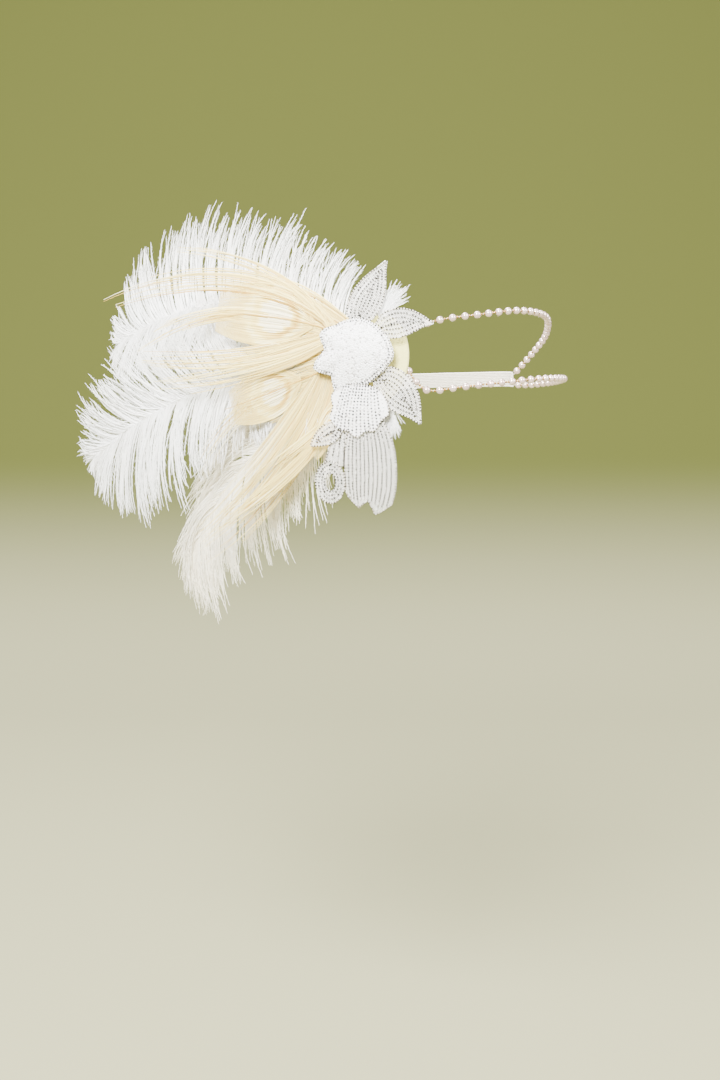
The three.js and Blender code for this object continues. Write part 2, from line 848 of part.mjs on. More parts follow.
const headband = new THREE.Group();

function addPiece(name, geometry, surface) {
  const mesh = new THREE.Mesh(geometry, surface);
  mesh.name = name;
  headband.add(mesh);
}

addPiece('pearl_strand_upper', pearlStrand(upperStrandRoute), pearl);
addPiece('pearl_strand_lower', pearlStrand(lowerStrandRoute), pearl);
addPiece('back_elastic', elasticBand(), elastic);
addPiece('felt_backing', feltOval(), feltCloth);
for (const [name, spec] of Object.entries(plumes)) {
  addPiece(name, plume(spec), name === 'ostrich_plume_lower' ? creamOstrich : ostrich);
}
for (const [name, spec] of Object.entries(peacocks)) {
  addPiece(name, peacockFeather(spec), peacock);
}
for (const [name, spec] of Object.entries(tufts)) {
  addPiece(name, tuft(spec), ostrich);
}
for (const [name, spec] of Object.entries(petals)) {
  addPiece(name, petal(spec), beadedNet);
}
addPiece('petal_scroll', scrollLobe(), beadedNet);
addPiece('flower_centre', join([beadCluster(centre), padUnderCentre()]), beads);
addPiece('flower_lower', beadCluster(lowerCentre), beads);

export default headband;
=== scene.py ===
"""Feather headband: two pearl strands, a beaded net flower and a spray of feathers, in metres."""

import math
import random

import bpy
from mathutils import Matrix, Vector


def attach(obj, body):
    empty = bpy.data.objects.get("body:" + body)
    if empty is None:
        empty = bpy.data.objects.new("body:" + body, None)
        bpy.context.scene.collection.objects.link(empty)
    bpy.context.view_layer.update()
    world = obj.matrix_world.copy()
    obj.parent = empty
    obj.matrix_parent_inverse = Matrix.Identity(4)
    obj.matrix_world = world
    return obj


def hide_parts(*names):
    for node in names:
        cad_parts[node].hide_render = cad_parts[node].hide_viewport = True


bl_info = {
    "name": "Feather headband",
    "version": (1, 0, 0),
    "blender": (4, 5, 0),
    "location": "3D View > Sidebar > Headband",
    "description": "Dresses the headband with pearls, felt, beaded net and feathers",
    "category": "Object",
}

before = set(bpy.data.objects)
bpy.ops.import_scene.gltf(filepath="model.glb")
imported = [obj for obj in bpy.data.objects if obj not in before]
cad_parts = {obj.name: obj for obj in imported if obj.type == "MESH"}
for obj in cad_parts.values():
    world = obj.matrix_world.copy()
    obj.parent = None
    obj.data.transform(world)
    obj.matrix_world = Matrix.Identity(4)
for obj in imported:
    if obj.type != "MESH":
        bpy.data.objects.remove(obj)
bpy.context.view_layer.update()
MM = 0.001


# Sizes, in mm

HALF_LENGTH, HALF_BREADTH = 99, 78.5
CROWN_RISE, WIDEST_LEVEL, ROUNDNESS = 115, -41, 2.2
GAP, CLEARANCE = 0.3, 0.2
PEARL, PITCH = 3.6, 6.4
STRAND_LIFT = CLEARANCE + PEARL / 2
MEETING_TURN, MEETING_LEVEL, STRAND_SPREAD = 98, -0.161, 0.025
STRAND_END = MEETING_TURN - 0.4

# Turn in degrees from the front, away from the flower, and level as a share of CROWN_RISE
STRANDS = {
    "upper": [
        (-37, 0.195), (-29, 0.238), (-19, 0.268), (0, 0.283), (18, 0.282), (36, 0.252),
        (54, 0.196), (72, 0.091), (86, -0.017), (STRAND_END, MEETING_LEVEL + STRAND_SPREAD),
    ],
    "lower": [
        (-33.4, 0.09), (-31.6, 0.052), (-29, 0.012), (-25, -0.014), (-14, 0), (0, 0.007),
        (20, 0), (38, -0.028), (54, -0.064), (74, -0.123), (88, -0.165),
        (STRAND_END, MEETING_LEVEL - STRAND_SPREAD),
    ],
}

FLOWER_TURN, FLOWER_LEAN = math.radians(-49), math.radians(16)
FLOWER_LEVEL = 0.122 * CROWN_RISE
FLOWER_DRAPE = {
    "front": 0.94 * HALF_LENGTH, "rear": 4.55 * HALF_LENGTH,
    "up": 0.91 * HALF_LENGTH, "down": 2.63 * HALF_LENGTH,
}
FEATHERS_DRAPE = {
    "front": 4.55 * HALF_LENGTH, "rear": 4.55 * HALF_LENGTH,
    "up": 4.55 * HALF_LENGTH, "down": 2.63 * HALF_LENGTH,
}
REACH = 18
PETAL_LENGTH, PETAL_WIDTH = 2.444 * REACH, 1.444 * REACH
FELT_THICKNESS = 2
FELT = {
    "u": 0.556 * REACH, "v": -0.167 * REACH,
    "halfWidth": 0.861 * REACH, "halfHeight": 1.222 * REACH,
    "lift": CLEARANCE + PEARL + GAP,
}
FELT_TOP = FELT["lift"] + FELT_THICKNESS

ELASTIC_WIDTH, ELASTIC_THICKNESS = 8, 1.2
TUCK_LIFT = FELT["lift"] - ELASTIC_THICKNESS - 3 * GAP
ELASTIC = [
    (MEETING_TURN, MEETING_LEVEL, 0.45), (108, -0.178, 0.2), (150, -0.235, 0.1),
    (185, -0.252, 0.1), (220, -0.217, 0.1), (258, -0.096, 0.1), (284, 0.035, 0.25),
    (301, 0.104, 1),
]

QUILL, QUILL_SPACING = 1.8, 3
QUILL_ROOT_U, QUILL_TOP_V = 2, 8
QUILL_LIFT = FELT_TOP + GAP + QUILL / 2
EDGE_MARGIN, LAYER_RUN, LAYER_GAP = 2, 12, 0.45
LOCK_THICKNESS, EYE_THICKNESS, BACK_DROP = 2, 1.4, 4.5
BACK = QUILL_LIFT - BACK_DROP
MIDDLE = BACK + LOCK_THICKNESS + LAYER_GAP
LOWER_EYE = MIDDLE + (LOCK_THICKNESS + EYE_THICKNESS) / 2 + LAYER_GAP
UPPER_EYE = LOWER_EYE + EYE_THICKNESS + LAYER_GAP
FRONT = UPPER_EYE + EYE_THICKNESS + LAYER_GAP
LAYERS = {
    "back": (BACK, -0.22), "middle": (MIDDLE, -0.09), "lower_eye": (LOWER_EYE, -0.02),
    "upper_eye": (UPPER_EYE, 0.03), "front": (FRONT, 0.01),
}

PETAL_THICKNESS, FLOWER_STAND, TUCK_ROOM = 1.4, 2, 0.8
CENTRE_LIFT = UPPER_EYE + EYE_THICKNESS / 2 + FLOWER_STAND
PETAL_LIFT = CENTRE_LIFT - PETAL_THICKNESS - TUCK_ROOM
DROP_LIFT = FRONT + EYE_THICKNESS / 2 + GAP + 0.2
LOWER_LIFT = DROP_LIFT + PETAL_THICKNESS + GAP
CENTRE_RISE, LOWER_RISE = 5.2, 1.4

SPRAY = 184
BARB = 0.359 * SPRAY
HERL, HERL_WIDTH, EYE_WIDTH = 0.87 * SPRAY, 0.049 * SPRAY, 0.168 * SPRAY

# Each row of barbs: from, to, first and last angle off the quill, curl, first and last length, fullness
PLUMES = {
    "upper": {
        "v": 0, "heading": 157, "turn": 46, "late": 0.9, "length": 0.989, "layer": "back",
        "sides": {
            -1: [(0.13, 0.64, -64, -64, -40, 0.545, 0.879, 0.8),
                 (0.74, 0.985, -60, -22, -40, 0.818, 0.394, 1.4)],
            1: [(0.2, 0.94, 46, 30, 38, 0.64, 0.5, 1)],
        },
    },
    "side": {
        "v": 2, "heading": 193, "turn": 19, "late": 2, "length": 1, "layer": "middle",
        "sides": {
            -1: [(0.2, 0.6, -44, -34, -34, 0.8, 0.94, 1),
                 (0.66, 0.98, -32, -28, -26, 0.88, 0.46, 1)],
            1: [(0.26, 0.7, 42, 44, 42, 0.667, 0.879, 1),
                (0.8, 0.985, 42, 14, 34, 0.76, 0.36, 1)],
        },
    },
    "lower": {
        "v": 4, "heading": 216, "turn": 22, "late": 2.6, "length": 0.837, "layer": "back",
        "sides": {
            -1: [(0.2, 0.5, -56, -38, 58, 1, 0.9, 1),
                 (0.56, 0.96, -34, -22, 52, 0.84, 0.5, 1)],
            1: [(0.04, 0.17, 48, 36, 24, 0.68, 0.92, 1),
                (0.18, 0.97, 36, 26, 24, 1, 0.62, 1.3)],
        },
    },
}

# Each herl: from, heading, turn, how late it turns, length and width
PEACOCKS = {
    "upper": {
        "v": 1, "heading": 163, "turn": 24, "length": 0.478, "layer": "upper_eye",
        "eye": (0.3, 0.326 * SPRAY, EYE_WIDTH),
        "herls": [
            (0.16, 121, 81, 0.43, 1, 1), (0.2, 118, 64, 0.5, 0.7, 0.444),
            (0.6, 168, 44, 0.7, 0.55, 0.667), (0.16, 214, -38, 0.5, 0.762, 0.889),
            (0.14, 218, -34, 0.5, 0.725, 1),
        ],
    },
    "middle": {
        "v": 3, "heading": 208, "turn": -10, "length": 0.435, "layer": "lower_eye",
        "eye": (0.42, 0.245 * SPRAY, 0.806 * EYE_WIDTH),
        "herls": [
            (0.2, 286, -76, 0.4, 0.84, 1), (0.24, 268, -56, 0.5, 0.77, 1),
            (0.3, 250, -34, 0.6, 0.7, 0.889), (0.34, 194, 50, 1, 0.55, 0.667),
        ],
    },
    "lower": {
        "v": 5, "heading": 254, "turn": -18, "length": 0.283, "layer": "front",
        "eye": (0.32, 0.185 * SPRAY, 0.355 * EYE_WIDTH),
        "herls": [
            (0.6, 246, -44, 0.6, 0.55, 0.556), (0.75, 234, -26, 0.6, 0.55, 0.556),
            (0.5, 228, -22, 0.8, 0.387, 0.444),
        ],
    },
}
EYE_SHAPE = (0.12, 0.62, 0.9, 1, 1, 0.94, 0.8, 0.58)
HERL_SHAPE = (0.4, 0.9, 1, 1.02, 0.95, 0.7)
FAN_SHAPE = (0.3, 0.58, 0.82, 0.98, 1.05, 1.05)
# The fan of short herls starts at this share of the quill, and reaches this share of the eye
FAN_START, FAN_REACH, FAN_WIDTH, HERL_SPREAD = 0.04, 0.62, 1.1, 1.3

# Root, first and last heading, curl, length and width, as shares of the flower's reach
TUFTS = {
    "brow": (0.556, 1.083, 78, 34, 8, 0.94, 0.444),
    "cheek": (1.028, -1.333, 274, 306, -8, 0.944, 0.389),
}

PETAL_SHAPES = {
    "leaf": (0.42, 0.84, 0.98, 1, 0.93, 0.78, 0.55, 0.28, 0.05),
    "bell": (0.58, 0.78, 0.91, 0.98, 1, 1, 0.97, 0.86, 0.62),
    "bud": (0.4, 0.75, 0.95, 1, 0.97, 0.85, 0.66, 0.4, 0.1),
}
# Root u and v, heading, turn, length, width, shape, lift, rise and cup
PETALS = {
    "crown": (0, 0.722, 80, -6, 0.75, 0.692, "leaf", PETAL_LIFT, 1.071, 0.857),
    "brow": (0.622, 0.611, 30, -36, 0.602, 0.577, "leaf", PETAL_LIFT, 0.429, 0.571),
    "cheek": (0.778, -0.611, -26, -34, 0.705, 0.692, "leaf", PETAL_LIFT, 0.571, 0.571),
    "drop": (0.611, -1.778, -77, -22, 1, 1, "bell", DROP_LIFT, -1.429, -1.143),
    "rear_low": (-0.044, -2.056, 206, 14, 0.432, 0.385, "bud", DROP_LIFT, 0.429, 0.071),
}
SCROLL = {"u": -0.35, "v": -3.528, "outer": (0.444, 0.556), "hole": (0.144, 0.222)}
SCROLL_LIFT = DROP_LIFT - 1
SCROLL_ROWS = (0.08, 0.36, 0.66, 0.97)
# Corners of the net that joins the scroll to the drop, in shares of the flower's reach
WEB = ((0.1, -1.95), (-0.26, -2.1), (-0.5, -3.04), (0.16, -3.1))
WEB_LIFT = DROP_LIFT - 0.5
# The drop's lower edge from side to side, as shares of its length: two points with a notch between
DROP_EDGE = (0.86, 0.94, 0.98, 0.94, 0.88, 0.95, 1.02, 0.97, 0.88)
# Every other line of the drop's fan starts this share of its length lower
FAN_STAGGER = 0.017
# Beads sit this far inside a petal's cut edge, and stand this far above its net
ROW_EDGE, ROW_LIFT = 0.3, 0.4
# Powers that darken a bead's random tone toward the row colours' painted shade, outlines the most
OUTLINE_SHADE, INNER_SHADE = 7, 2.6
RIM_LIFT, EDGE_THREAD = 0.1, 0.24

# Space between packed beads as a share of their size, rows round the rim, and rows that fan down
CLUSTER_BEADS = {"centre": (0.74, (1, 0.93), 0), "lower": (1.5, (1,), 13)}
# Middle, reach, lift, rise, edge, how flat its top is, and the lobes of its rim
CLUSTERS = {
    "centre": (0.167, -0.056, 1, CENTRE_LIFT, CENTRE_RISE, 1.4, 2.1, (
        1, 0.93, 0.86, 0.86, 0.9, 0.92, 0.98, 1.22, 0.94, 1.3, 0.94, 1.18, 0.94, 0.9, 0.86, 0.9)),
    "lower": (0.411, -1.556, 0.694, LOWER_LIFT, LOWER_RISE, 0.4, 1.4, (
        1.2, 1.16, 1.1, 0.98, 0.94, 1.0, 1.12, 1.24, 1.06, 1.22, 1.12, 0.92, 1.06, 0.88, 1.04, 1)),
}


# Places

def lerp(a, b, share):
    return a + (b - a) * share


def smooth(share):
    share = min(max(share, 0), 1)
    return share * share * (3 - 2 * share)


def shape_at(shape, share):
    spot = share * (len(shape) - 1)
    low = min(int(spot), len(shape) - 2)
    return lerp(shape[low], shape[low + 1], spot - low)


def on_loop(turn, level, lift):
    share = abs((level - WIDEST_LEVEL) / (CROWN_RISE + lift))
    size = (1 - share ** ROUNDNESS) ** (1 / ROUNDNESS)
    angle = math.radians(turn)
    return Vector((
        (HALF_BREADTH + lift) * size * math.sin(angle),
        -(HALF_LENGTH + lift) * size * math.cos(angle),
        level,
    ))


FLOWER_BASE = on_loop(math.degrees(FLOWER_TURN), FLOWER_LEVEL, 0)
ALONG_U = Vector((
    HALF_BREADTH * math.cos(FLOWER_TURN), HALF_LENGTH * math.sin(FLOWER_TURN), 0,
)).normalized()
OUTWARD = Vector((ALONG_U.y, -ALONG_U.x, 0)) * math.cos(FLOWER_LEAN)
OUTWARD += Vector((0, 0, math.sin(FLOWER_LEAN)))
ALONG_V = OUTWARD.cross(ALONG_U)


def place(u, v, lift, drape):
    """A point in the flower's frame, in mm: u toward the front, v up, lift outward."""
    across = drape["front"] if u > 0 else drape["rear"]
    upright = drape["up"] if v > 0 else drape["down"]
    fall = u * u / (2 * across) + v * v / (2 * upright)
    return FLOWER_BASE + ALONG_U * u + ALONG_V * v + OUTWARD * (lift - fall)


def layer_lift(layer, u, v):
    lift, slope = LAYERS[layer]
    reach = math.hypot((u - FELT["u"]) / FELT["halfWidth"], (v - FELT["v"]) / FELT["halfHeight"])
    past = max(0, (reach - 1) * FELT["halfWidth"] - EDGE_MARGIN)
    settled = lerp(QUILL_LIFT, lift, smooth(past / LAYER_RUN))
    return settled + slope * max(0, past - LAYER_RUN)


def walk(u, v, heading, turn, length, late=1.0, steps=12, crowding=1.0):
    """Stations (share, u, v, heading) of a path whose heading turns as it goes."""
    stations = [(0.0, u, v, heading)]
    last = 0.0
    for step in range(1, steps + 1):
        share = (step / steps) ** crowding
        middle = (share + last) / 2
        toward = heading + turn * middle ** late
        u += length * (share - last) * math.cos(math.radians(toward))
        v += length * (share - last) * math.sin(math.radians(toward))
        stations.append((share, u, v, toward))
        last = share
    return stations


def station_at(stations, share):
    for before, after in zip(stations, stations[1:]):
        if after[0] >= share:
            part = (share - before[0]) / (after[0] - before[0])
            return tuple(lerp(a, b, part) for a, b in zip(before[1:], after[1:]))
    return stations[-1][1:]


# How barbs grow: barbs in a lock, how far a lock's tips draw together, how far a barb strays in degrees
LOCK_SIZES, GATHER, STRAY = (3, 9), (0.15, 0.75), 8
# Share of the barbs that stray further, and how many times further
WILD_BARBS, WILD_STRAY = 0.07, 2.6
# A lock's lean in degrees, its share of the full length and its tone
LOCK_LEAN, LOCK_REACH, LOCK_TONE = 7, (0.84, 1.06), (0.3, 1)
# A barb's own share of curl and of length, its wave, its tip's hook in mm and its tone
BARB_CURL, BARB_REACH, BARB_WAVE, BARB_HOOK, BARB_TONE = (0.75, 1.3), (0.74, 1.06), (0.3, 1.3), 3, 0.15
# How late tips draw together and hook, and how fast the wave runs
GATHER_POWER, HOOK_POWER, WAVE_RATE = 1.7, 5, 5
# How far locks and barbs stand out of the vane, at their roots and toward their tips
LOCK_RISE, BARB_RISE, ROOT_RISE, TIP_RISE = 1.1, 0.8, 0.35, 1.6
# Near the quill's tip, barbs shorten and close by this much
FIRST_BARB, LAST_BARB, TIP_START, TIP_CLOSING, BARB_STEPS = 0.06, 0.997, 0.9, 0.6, 9
BARB_TAPER = (1, 1, 0.85, 0.6, 0.25)
FLUFF = (0.8, 1.05, 1, 0.75, 0.28)
# Barbules lean this much along the barb for each share that they spread aside, and rise this much
BARBULE_LEAN, BARBULE_RISE, BARBULE_LENGTHS = 1.1, 0.45, (0.6, 1.15)
# How far plume quills lie under their barbs and herl shafts above their herls, and how thin tips are
QUILL_SINK, QUILL_END = 0.6, 0.4
SHAFT_STAND, SHAFT, SHAFT_END, SHAFT_TONE = 0.3, 0.45, 0.3, 0.2
# A herl's rise in mm, the change of its tone, the tone shift and share of herls painted dark as painted
# shadow in the gaps between herls, and its breadth as a share of the pitch
HERL_RISE, HERL_STREAK, EYE_STREAK, SHADOW_GAP_SHIFT, SHADOW_GAP_HERLS = 0.3, 0.22, 0.3, -0.55, 0.05
HERL_BREADTH, HERL_TIP, HERL_SLIMMEST, HERL_GRAIN = 0.64, 0.3, 0.45, 0.05
# The eye's heart: its share of the eye's length, its length and breadth, and the edges of its zones
HEART_AT, HEART_LONG, HEART_BROAD = 0.37, 0.46, 1.5
HEART_EDGE, CRESCENT_EDGE, RIM_EDGE = 0.38, 0.52, 0.68
# A tuft: its locks, barbs in each, how far it lies under the petals, and the spread of its roots,
# headings and lifts
TUFT_LOCKS, TUFT_BARBS, TUFT_DROP, TUFT_ROOT, TUFT_SPREAD, TUFT_RISE = 10, 9, 0.8, 2, 5, 0.7
TUFT_REACH, DOWN_REACH, DOWN_CURL, DOWN_TONE = (0.72, 1.0), (0.7, 1.02), (-1, 3), (0.4, 1)
# Radius of the down, length of its barbules and their spacing
DOWN_RADIUS, DOWN_FLUFF, DOWN_SPACING = 0.17, 1.9, 0.42
NET_THICKNESS, RIBS, RIB_RADIUS, ELASTIC_STEPS = 0.25, 9, 0.52, 120
# The elastic's end seams: stitches, half their width as a share of the band's, stand and thread
SEAM_STITCHES, SEAM_WIDTH, SEAM_STAND, SEAM_THREAD = 9, 0.42, 1.2, 0.22
# The felt's flat part as a share of its reach, its nap, and its rounded edge as (reach, height)
FELT_FLAT, FELT_NAP = 0.97, 0.06
FELT_EDGE = [(0.99, 0.8), (1.0, 0.5), (0.99, 0.2)]
# Seed beads have few faces. Each is cut a little shorter than it is wide, and no two are one size
SEED_BEAD = {"Segments": 6, "Rings": 4, "Radius": 0.5}
ROW_BARREL, ROW_SIZES = 0.86, (0.86, 1.1)
PACK_BARREL, PACK_SIZES, PACK_TILT = 0.8, (0.85, 1.15), 0.7
# Place in the pitch, kind and segments of each bead on a strand
STRUNG = ((0.5, "Pearl", 20), (0.12, "Spacer", 10), (0.88, "Spacer", 10))

# The stage, in metres
FLOOR_LEVEL, WALL_RISE = -0.42, 0.14
SWEEP = {"front": 3.5, "back": 1.6, "bend": 0.8, "height": 3.2, "half": 5.0}
CAMERA = (-0.66669, -1.15474, 0.19819)
CAMERA_YAW, CAMERA_PITCH, CAMERA_LENS = -29.164, -12.392, 87.75
# Name, place, size and share of the key's power
LIGHTS = (
    ("key light", (-0.95, -0.85, 0.95), 0.55, 1.0),
    ("fill light", (0.85, -1.05, 0.8), 0.9, 0.42),
    ("top light", (-0.15, 0.5, 1.25), 0.9, 0.5),
)
LIGHT_AIM = (-0.04, 0, -0.03)
AIR_STRENGTH = 0.4


# Meshes and node trees

FLOAT, INT, MATERIAL = "NodeSocketFloat", "NodeSocketInt", "NodeSocketMaterial"


def linear(hex_colour):
    """An sRGB hex colour as the linear RGBA that shaders take."""
    channels = []
    for index in (1, 3, 5):
        value = int(hex_colour[index:index + 2], 16) / 255
        channels.append(value / 12.92 if value <= 0.04045 else ((value + 0.055) / 1.055) ** 2.4)
    return (*channels, 1.0)


def link_object(name, mesh):
    piece = bpy.data.objects.new(name, mesh)
    bpy.context.scene.collection.objects.link(piece)
    return piece


def guide_lines(name, lines):
    """A mesh of plain polylines. Each line has points in mm and values for each named attribute."""
    points, edges = [], []
    values = {key: [] for key in lines[0] if key != "points"}
    for line in lines:
        first, count = len(points), len(line["points"])
        points.extend(point * MM for point in line["points"])
        edges.extend((first + step, first + step + 1) for step in range(count - 1))
        for key, data in values.items():
            data.extend(line[key] if isinstance(line[key], list) else [line[key]] * count)
    mesh = bpy.data.meshes.new(name)
    mesh.from_pydata(points, edges, [])
    for key, data in values.items():
        if isinstance(data[0], Vector):
            layer = mesh.attributes.new(key, "FLOAT_VECTOR", "POINT")
            layer.data.foreach_set("vector", [x for vector in data for x in vector])
        else:
            mesh.attributes.new(key, "FLOAT", "POINT").data.foreach_set("value", data)
    return link_object(name, mesh)


def add(tree, kind, inputs=None, **settings):
    """Adds a node. An input takes a value, a node, a (node, output) pair or a list of nodes."""
    made = tree.nodes.new(kind)
    for key, value in settings.items():
        setattr(made, key, value)
    for key, value in (inputs or {}).items():
        for source in reversed(value) if isinstance(value, list) else [value]:
            if isinstance(source, bpy.types.Node):
                first = next(output for output in source.outputs if output.enabled)
                tree.links.new(first, made.inputs[key])
            elif isinstance(source, tuple) and isinstance(source[0], bpy.types.Node):
                tree.links.new(source[0].outputs[source[1]], made.inputs[key])
            else:
                made.inputs[key].default_value = source
    return made


def new_tree(name, sizes):
    """A geometry tree with a Geometry socket each way and named inputs: {name: (type, value)}."""
    tree = bpy.data.node_groups.new(name, "GeometryNodeTree")
    tree.interface.new_socket("Geometry", in_out="INPUT", socket_type="NodeSocketGeometry")
    for label, (kind, value) in sizes.items():
        socket = tree.interface.new_socket(label, in_out="INPUT", socket_type=kind)
        if value is not None:
            socket.default_value = value
    tree.interface.new_socket("Geometry", in_out="OUTPUT", socket_type="NodeSocketGeometry")
    return tree, tree.nodes.new("NodeGroupInput")


def plain_copy(name, source):
    """The source with its modifiers applied, as a new object. The source is removed."""
    graph = bpy.context.evaluated_depsgraph_get()
    mesh = bpy.data.meshes.new_from_object(
        source.evaluated_get(graph), preserve_all_data_layers=True, depsgraph=graph)
    mesh.name = name
    old = source.data
    bpy.data.objects.remove(source)
    bpy.data.meshes.remove(old)
    return link_object(name, mesh)


def grow(name, source, tree, values):
    """Runs a tree on the source object and keeps the result as a plain mesh object."""
    modifier = source.modifiers.new(tree.name, "NODES")
    modifier.node_group = tree
    for item in tree.interface.items_tree:
        if item.in_out == "INPUT" and item.name in values:
            modifier[item.identifier] = values[item.name]
    source.update_tag()
    return plain_copy(name, source)


def join_pieces(name, parts):
    """Joins made pieces into one mesh object."""
    with bpy.context.temp_override(
            active_object=parts[0], object=parts[0], selected_objects=parts,
            selected_editable_objects=parts):
        bpy.ops.object.join()
    parts[0].name = parts[0].data.name = name
    return parts[0]


def end_tree(tree, start, shape):
    """Ends a tree: its instances are made real, then take the material of its Material input."""
    real = add(tree, "GeometryNodeRealizeInstances", {"Geometry": shape})
    painted = add(tree, "GeometryNodeSetMaterial", {"Geometry": real, "Material": (start, "Material")})
    add(tree, "NodeGroupOutput", {"Geometry": painted})
    return tree


def fibre_tree():
    """Tapering barbs along guide lines, each set with fine barbules that lean toward its tip."""
    tree, start = new_tree("Feather fibres", {
        "Barbule spacing": (FLOAT, 0.6 * MM),
        "Barbule radius": (FLOAT, 0.12 * MM),
        "Seed": (INT, 1),
        "Material": (MATERIAL, None),
    })
    radius = add(tree, "GeometryNodeInputNamedAttribute", {"Name": "radius"}, data_type="FLOAT")
    fluff = add(tree, "GeometryNodeInputNamedAttribute", {"Name": "fluff"}, data_type="FLOAT")
    across = add(tree, "GeometryNodeInputNamedAttribute", {"Name": "across"}, data_type="FLOAT_VECTOR")
    curve = add(tree, "GeometryNodeMeshToCurve", {"Mesh": start})
    ring = add(tree, "GeometryNodeCurvePrimitiveCircle", {"Resolution": 3, "Radius": 1.0})
    barbs = add(tree, "GeometryNodeCurveToMesh", {
        "Curve": curve, "Profile Curve": ring, "Scale": radius, "Fill Caps": True})
    spots = add(tree, "GeometryNodeCurveToPoints", {
        "Curve": curve, "Length": (start, "Barbule spacing")}, mode="LENGTH")
    lean = add(tree, "FunctionNodeRandomValue", {
        "Min": (-1.0, -BARBULE_RISE, 0.0), "Max": (1.0, BARBULE_RISE, 0.0),
        "Seed": (start, "Seed")},
        data_type="FLOAT_VECTOR")
    parts = add(tree, "ShaderNodeSeparateXYZ", {"Vector": lean})
    outward = add(tree, "ShaderNodeVectorMath", {0: (spots, "Tangent"), 1: across},
                  operation="CROSS_PRODUCT")
    aside = add(tree, "ShaderNodeVectorMath", {0: across, "Scale": (parts, "X")}, operation="SCALE")
    lifted = add(tree, "ShaderNodeVectorMath", {0: outward, "Scale": (parts, "Y")}, operation="SCALE")
    spread = add(tree, "ShaderNodeVectorMath", {0: aside, 1: lifted}, operation="ADD")
    toward = add(tree, "ShaderNodeVectorMath", {
        0: (spots, "Tangent"), 1: (BARBULE_LEAN,) * 3, 2: spread}, operation="MULTIPLY_ADD")
    turned = add(tree, "FunctionNodeAlignRotationToVector", {"Vector": toward}, axis="Z")
    spike = add(tree, "GeometryNodeMeshCone", {
        "Vertices": 3, "Radius Top": 0.0, "Radius Bottom": (start, "Barbule radius"), "Depth": 1.0})
    shortest, longest = BARBULE_LENGTHS
    length = add(tree, "FunctionNodeRandomValue", {"Min": shortest, "Max": longest, "Seed": 7},
                 data_type="FLOAT")
    grown = add(tree, "ShaderNodeMath", {0: fluff, 1: length}, operation="MULTIPLY")
    scale = add(tree, "ShaderNodeCombineXYZ", {"X": 1.0, "Y": 1.0, "Z": grown})
    barbules = add(tree, "GeometryNodeInstanceOnPoints", {
        "Points": spots, "Instance": spike, "Rotation": turned, "Scale": scale})
    real = add(tree, "GeometryNodeRealizeInstances", {"Geometry": barbules})
    both = add(tree, "GeometryNodeJoinGeometry", {"Geometry": [barbs, real]})
    painted = add(tree, "GeometryNodeSetMaterial", {"Geometry": both, "Material": (start, "Material")})
    add(tree, "NodeGroupOutput", {"Geometry": painted})
    return tree


def ribbon_tree():
    """Flat satin herls: each guide line swept with a thin lens of its own width."""
    tree, start = new_tree("Herl ribbons", {"Flatness": (FLOAT, 0.4), "Material": (MATERIAL, None)})
    normal = add(tree, "GeometryNodeInputNamedAttribute", {"Name": "outward"},
                 data_type="FLOAT_VECTOR")
    width = add(tree, "GeometryNodeInputNamedAttribute", {"Name": "radius"}, data_type="FLOAT")
    curve = add(tree, "GeometryNodeMeshToCurve", {"Mesh": start})
    facing = add(tree, "GeometryNodeSetCurveNormal", {"Curve": curve, "Normal": normal}, mode="FREE")
    ring = add(tree, "GeometryNodeCurvePrimitiveCircle", {"Resolution": 4, "Radius": 1.0})
    flat = add(tree, "ShaderNodeCombineXYZ", {"X": (start, "Flatness"), "Y": 1.0, "Z": 1.0})
    lens = add(tree, "GeometryNodeTransform", {"Geometry": ring, "Scale": flat})
    herls = add(tree, "GeometryNodeCurveToMesh", {
        "Curve": facing, "Profile Curve": lens, "Scale": width, "Fill Caps": True})
    return end_tree(tree, start, herls)


def tube_tree():
    """Round threads, quills and ribs: each guide line swept with a ring of its own radius."""
    tree, start = new_tree("Round threads", {"Sides": (INT, 8), "Material": (MATERIAL, None)})
    radius = add(tree, "GeometryNodeInputNamedAttribute", {"Name": "radius"}, data_type="FLOAT")
    curve = add(tree, "GeometryNodeMeshToCurve", {"Mesh": start})
    ring = add(tree, "GeometryNodeCurvePrimitiveCircle", {"Resolution": (start, "Sides"), "Radius": 1.0})
    tubes = add(tree, "GeometryNodeCurveToMesh", {
        "Curve": curve, "Profile Curve": ring, "Scale": radius, "Fill Caps": True})
    rounded = add(tree, "GeometryNodeSetShadeSmooth", {"Geometry": tubes})
    return end_tree(tree, start, rounded)


